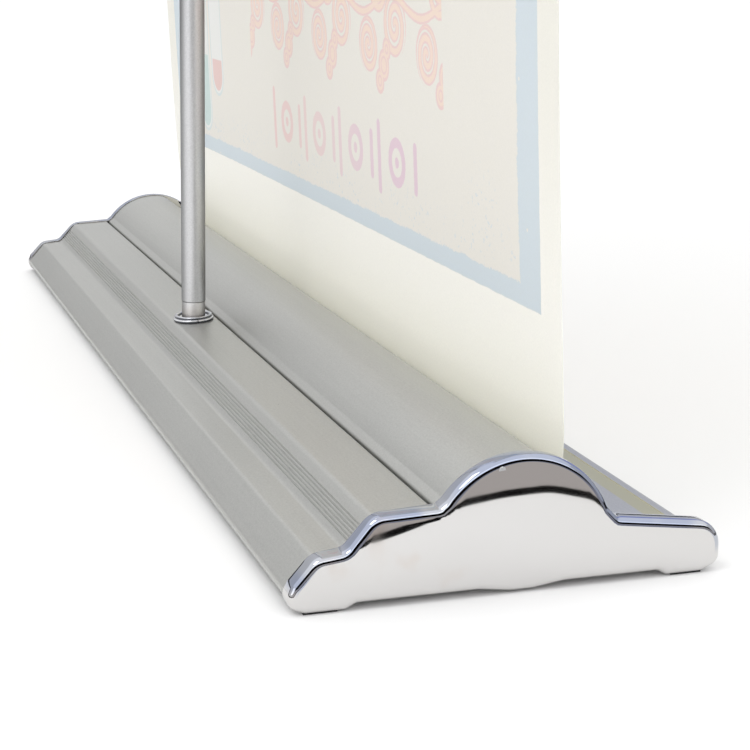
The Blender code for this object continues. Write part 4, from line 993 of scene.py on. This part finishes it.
def build_cap(side, name):
    """A cap from its open edge over its rim to the bent face, with the pocket behind."""
    outline = cap_outline()
    line = flat_line()
    tuck = front_points(FRONT_INSET)[-1]
    section = skyline((*REAR_TUCK, 0), (*tuck, 0), FRONT_INSET)[1:-1]
    inner_line = rounded([(*REAR_TUCK, TUCK_FOLD)] + [(y, z, 0) for y, z in section]
                         + [(*tuck, TUCK_FOLD)], 4, closed=True)
    shell = evened(shifted(inner_line, -FIT, closed=True), POCKET_SPACING)
    steps = [(0.35 * MM, 0.0, 0), (0.1 * MM, 0.12 * MM, 0), (0, 0.45 * MM, 0)]
    depth = CAP_FACE_X - CAP_EDGE_X
    for degrees in range(0, 91, 6):
        angle = math.radians(degrees)
        steps.append((RIM_ROUND * (1 - math.cos(angle)),
                      depth - RIM_ROUND * (1 - math.sin(angle)), 1))
    body = bmesh.new()
    loops = []
    for inset, x, bent in steps:
        ring = shifted(outline, inset, closed=True)
        loops.append([body.verts.new((CAP_EDGE_X + x - bent * bend(y, z, line), y, z))
                      for y, z in ring])
    count = len(outline)
    for a, b in zip(loops, loops[1:]):
        for i in range(count):
            j = (i + 1) % count
            body.faces.new((a[i], a[j], b[j], b[i])).material_index = 1

    # the bent face, between the last loop and points inside it
    rim = [(v.co.y, v.co.z) for v in loops[-1]]
    inner = inside_points(rim, FACE_SPACING, RIM_SPACING)
    flat = [Vector(p) for p in rim + inner]
    edges = [(i, (i + 1) % count) for i in range(count)]
    verts, _, faces, origin, _, _ = delaunay_2d_cdt(flat, edges, [], 1, 1e-7)
    made = {}
    for i, point in enumerate(verts):
        source = [o for o in origin[i] if o < count]
        if source:
            made[i] = loops[-1][source[0]]
        else:
            x = CAP_FACE_X - bend(point[0], point[1], line)
            made[i] = body.verts.new((x, point[0], point[1]))
    for face in faces:
        body.faces.new([made[i] for i in face])

    # the pocket that the section's end stands in
    pocket_x = CAP_FACE_X - POCKET_FLOOR
    mouth = [body.verts.new((CAP_EDGE_X, y, z)) for y, z in shell]
    floor = [body.verts.new((pocket_x, y, z)) for y, z in shell]
    for i in range(len(shell)):
        j = (i + 1) % len(shell)
        body.faces.new((mouth[i], mouth[j], floor[j], floor[i]))
    body.faces.new(floor)
    ring_edges = []
    for loop in (loops[0], mouth):
        for i, vert in enumerate(loop):
            other = loop[(i + 1) % len(loop)]
            ring_edges.append(body.edges.get((vert, other)))
    bmesh.ops.triangle_fill(body, use_beauty=True, use_dissolve=False, edges=ring_edges)
    if side < 0:
        bmesh.ops.scale(body, vec=(-1, 1, 1), verts=body.verts)
    cap = smooth(from_bmesh("plated_cap_" + name, body, "chrome"), 30)
    # the rim takes the second look, with its painted reflection
    cap.data.materials.append(LOOKS["rim"])
    piece(cap, "base", "chrome", "end_cap_" + name)


build_cap(-1, "left")
build_cap(1, "right")


# ---- pole and its ring ----------------------------------------------------------------------

POLE_RADIUS = 8.5 * MM
TUBE_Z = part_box("pole_tube_lower")[0].z
JOINT_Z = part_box("pole_tube_lower")[1].z
TUBE_WALL, TOP_TUBE_WALL, TOP_TUBE_RADIUS = 0.9 * MM, 0.8 * MM, 6.4 * MM
RING_REACH, RING_HEIGHT = 5.7 * MM, 4.0 * MM
RING_NOTCH = (2.4 * MM, 1.1 * MM, 10 * MM)


def tube_profile(outer, inner, low, high, edge=0.35 * MM):
    return rounded([(outer, low, edge), (outer, high, edge), (inner, high, edge * 0.5),
                    (inner, low, edge * 0.5)], 4, closed=True)


def build_ring():
    """Two tiers with a chamfered bore and a notch, flat on the deck."""
    deck_z = REAR_DECK_Z - DECK_FALL * (POLE_Y - REAR_TOP_Y) / DECK_RUN
    outer, bore = POLE_RADIUS + RING_REACH, POLE_RADIUS + 0.9 * MM
    tier, height = outer - 0.9 * MM, RING_HEIGHT
    profile = rounded([(tier, height, 0.7 * MM), (tier, height * 0.52, 0.25 * MM),
                       (outer, height * 0.48, 0.45 * MM), (outer, 0, 0.15 * MM),
                       (bore, 0, 0.1 * MM), (bore, height * 0.3, 0.2 * MM),
                       (bore + 2.3 * MM, height, 0.4 * MM)], 4, closed=True)
    ring = turned("plated_ring", profile, "ring", (0, 0), 96)
    body = bmesh.new()
    bmesh.ops.create_cube(body, size=1)
    bmesh.ops.scale(body, vec=RING_NOTCH, verts=body.verts)
    bmesh.ops.translate(body, vec=(-outer - 0.1 * MM, 0, 0), verts=body.verts)
    carved(ring, from_bmesh("notch", body, "ring"))
    fall = Matrix.Rotation(-math.atan2(DECK_FALL, DECK_RUN), 4, "X")
    ring.data.transform(Matrix.Translation((0, POLE_Y, deck_z + FIT)) @ fall)
    piece(smooth(ring), "base", "chrome", "pole_ring")


def build_pole():
    centre = (0, POLE_Y)
    bore = POLE_RADIUS - TUBE_WALL
    low = tube_profile(POLE_RADIUS, bore, TUBE_Z, JOINT_Z)
    piece(turned("lower_tube", low, "tube", centre), "lower_pole", "anodised_aluminium",
          "pole_tube_lower")
    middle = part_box("pole_tube_middle")
    high = tube_profile(POLE_RADIUS, bore, middle[0].z, middle[1].z)
    piece(turned("middle_tube", high, "tube", centre), "lower_pole", "anodised_aluminium",
          "pole_tube_middle")
    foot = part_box("pole_foot")
    spigot, ferrule = bore - FIT, POLE_RADIUS - 0.2 * MM
    profile = rounded([(0, foot[1].z, 0), (spigot, foot[1].z, 0.8 * MM), (spigot, TUBE_Z - FIT, 0),
                       (ferrule, TUBE_Z - FIT, 0.3 * MM), (ferrule, foot[0].z, 1.5 * MM),
                       (0, foot[0].z, 0)], 5)
    piece(turned("pole_ferrule", profile, "ferrule", centre), "lower_pole", "anodised_aluminium",
          "pole_foot")
    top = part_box("pole_tube_top")
    profile = tube_profile(TOP_TUBE_RADIUS, TOP_TUBE_RADIUS - TOP_TUBE_WALL, top[0].z, top[1].z)
    piece(turned("top_tube", profile, "tube", centre), "top_pole", "anodised_aluminium",
          "pole_tube_top")


build_ring()
build_pole()


# ---- film -----------------------------------------------------------------------------------

def build_film():
    """The printed film: straight between slot and rail, with the slight roll it keeps from storage."""
    low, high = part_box("banner_film")
    half, thick = high.x, 0.4 * MM
    top_y = high.y - thick / 2
    lean = math.atan2(top_y - SLOT_Y, high.z - SLOT_Z)
    columns, rows = 64, 150
    across = np.linspace(-half, half, columns + 1)
    heights = np.linspace(low.z, high.z, rows + 1)
    body = bmesh.new()
    sides = []
    for face in (-1, 1):
        grid = []
        for z in heights:
            line = []
            for x in across:
                y = SLOT_Y + (z - SLOT_Z) * math.tan(lean) + bow(x, z - SLOT_Z) + face * thick / 2
                line.append(body.verts.new((x, y, z)))
            grid.append(line)
        sides.append(grid)
    front, back = sides
    for row in range(rows):
        for column in range(columns):
            a, b = (row, column), (row, column + 1)
            c, d = (row + 1, column + 1), (row + 1, column)
            corners = [front[r][k] for r, k in (a, b, c, d)]
            body.faces.new(corners).material_index = 1
            corners = [back[r][k] for r, k in (d, c, b, a)]
            body.faces.new(corners)
    for row in range(rows):
        for column in (0, columns):
            body.faces.new((front[row][column], front[row + 1][column], back[row + 1][column],
                            back[row][column]))
    for row in (0, rows):
        for column in range(columns):
            body.faces.new((front[row][column], front[row][column + 1], back[row][column + 1],
                            back[row][column]))
    film = from_bmesh("printed_banner", body, "film_back")
    film.data.materials.append(LOOKS["film_front"])
    piece(smooth(film), "top_rail", "printed_film", "banner_film")
    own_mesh(film)


def bow(x, up):
    """How far the film stands back from its straight line, up metres over the slot."""
    up -= 9 * MM
    if up <= 0:
        return 0.0
    memory = 8.5 * MM * math.sin(math.pi * min(up / 1.3, 1.0) ** 0.62) ** 2 if up < 1.3 else 0.0
    far = max(0.0, (x - 0.20) / 0.225) ** 1.5 * 5.5 * MM * (1 - math.exp(-up / 0.02))
    fade = max(0.0, 1 - up / 1.9)
    slack = -0.6 * MM * math.exp(-up / 0.05)
    return memory * (0.8 + 0.2 * (x / 0.425) ** 2) + far * fade + slack


build_film()


# ---- carried-over nodes ---------------------------------------------------------------------

# the look of each carried-over node by the start of its name; all others are black plastic
COATS = (("end_screw", "zinc"), ("floor_screw", "zinc"), ("socket_screw", "zinc"),
         ("rail_screw", "zinc"), ("end_plate", "zinc"), ("floor_plate", "zinc"), ("idler_pin", "zinc"),
         ("spring_mandrel", "zinc"), ("torsion_spring", "zinc"), ("foot_pad", "rubber"),
         ("shock_cord", "cord"), ("pole_head", "grey"), ("rail_cap", "grey"),
         ("film_wrap", "film_back"), ("roller_tube", "deck"), ("rail_back", "rail"),
         ("rail_jaw", "rail"))


def coat():
    """Give the carried-over nodes their procedural looks."""
    for name, node in nodes.items():
        if not node.hide_render:
            look = next((look for start, look in COATS if name.startswith(start)), "black")
            node.data.materials.clear()
            node.data.materials.append(LOOKS[look])


coat()


# ---- stage ----------------------------------------------------------------------------------

FLOOR_HALF = 40
CARD_AWAY = 0.30
RING_FAR = 4.0


def build_floor():
    mesh = bpy.data.meshes.new("floor")
    corners = [(-FLOOR_HALF, -FLOOR_HALF, 0), (FLOOR_HALF, -FLOOR_HALF, 0),
               (FLOOR_HALF, FLOOR_HALF, 0), (-FLOOR_HALF, FLOOR_HALF, 0)]
    mesh.from_pydata(corners, [], [(0, 1, 2, 3)])
    look, _, shader = new_look("pale_floor", roughness=0.9)
    shader.inputs["Base Color"].default_value = (0.93, 0.93, 0.93, 1)
    shader.inputs["Specular IOR Level"].default_value = 0.1
    mesh.materials.append(look)
    linked(bpy.data.objects.new("floor", mesh))


def lamp(name, place, aim, size, watts, colour=(1, 1, 1)):
    light = bpy.data.lights.new(name, "AREA")
    light.shape = "RECTANGLE"
    light.size, light.size_y = size
    light.energy = watts
    light.color = colour
    obj = linked(bpy.data.objects.new(name, light))
    obj.location = place
    obj.rotation_euler = (Vector(aim) - Vector(place)).to_track_quat("-Z", "Y").to_euler()
    return obj


def card(name, corners, colours, height_steps, foot=0.0005):
    """A plain card that only shows in polished metal; its colour changes at set heights."""
    mesh = bpy.data.meshes.new(name)
    count = len(corners)
    lift = max(height_steps)
    points = [(x, y, foot) for x, y in corners] + [(x, y, lift) for x, y in corners]
    mesh.from_pydata(points, [], [(i, i + 1, count + i + 1, count + i) for i in range(count - 1)])
    look = bpy.data.materials.new(name)
    look.use_nodes = True
    tree = look.node_tree
    tree.nodes.clear()
    (x, y, z), spot = places(tree)
    ragged = grain(tree, spot, 55.0, 3.0, (1, 1, 1)).spread(-1.0, 1.0) * 0.0022
    colour = mixed(tree, (z + ragged).step(height_steps[0], height_steps[0] + 0.0006), colours[0],
                   colours[1])
    for step, tone in zip(height_steps[1:-1], colours[2:]):
        colour = mixed(tree, (z + ragged).step(step, step + 0.002), colour, tone)
    glow = add(tree, "ShaderNodeEmission", {"Color": colour})
    add(tree, "ShaderNodeOutputMaterial", {"Surface": glow.outputs[0]})
    mesh.materials.append(look)
    obj = linked(bpy.data.objects.new(name, mesh))
    for ray in ("camera", "diffuse", "shadow", "transmission", "volume_scatter"):
        setattr(obj, "visible_" + ray, False)
    return obj


def build_cards():
    """What the plated caps mirror: a dark-edged card, a low dark ring far off and a blue card."""
    near_x = -CAP_FACE_X - CARD_AWAY
    card("dark_edged_card", [(near_x, 0.55), (near_x, -0.75)],
         [(0.002, 0.002, 0.002), (0.50, 0.47, 0.46), (0.004, 0.004, 0.004), (1.9, 1.9, 1.9)],
         [0.016, 0.118, 0.33, 0.52])
    ring = [(RING_FAR * math.cos(a), RING_FAR * math.sin(a))
            for a in np.linspace(0, 2 * math.pi, 49)]
    card("far_dark_ring", ring, [(0.02, 0.02, 0.022), (0.03, 0.03, 0.03)], [0.10, 0.32])
    blue = [(3.1, -1.3), (2.4, -2.6), (0.9, -3.4)]
    card("blue_card", blue, [(0.40, 0.45, 0.78), (0.38, 0.44, 0.80)], [1.3, 1.75], 0.75)


def build_stage():
    """Pale floor, cards, even sky, two softboxes and a soft overhead light."""
    build_floor()
    build_cards()
    world = bpy.data.worlds.new("studio")
    world.use_nodes = True
    bpy.context.scene.world = world
    tree = world.node_tree
    spot = add(tree, "ShaderNodeTexCoord").outputs["Generated"]
    split = add(tree, "ShaderNodeSeparateXYZ", {0: spot})
    up = Field(tree, split.outputs[2])
    sky = mixed(tree, up.step(0.0, 0.9), (0.70, 0.70, 0.71), (1.0, 1.0, 1.0))
    tree.links.new(sky, tree.nodes["Background"].inputs["Color"])
    tree.nodes["Background"].inputs["Strength"].default_value = 0.95
    lamp("softbox_low", (-1.2, 2.2, 0.8), (0.0, 0.0, 0.15), (1.5, 0.8), 4.0)
    lamp("softbox_over", (-0.9, 1.5, 3.0), (-0.2, 0, 0.1), (1.1, 1.1), 15)
    sun = bpy.data.lights.new("overhead", "SUN")
    sun.energy = 0.80
    sun.angle = math.radians(120)
    linked(bpy.data.objects.new("overhead", sun))
    bpy.context.scene.view_settings.view_transform = "Standard"


build_stage()
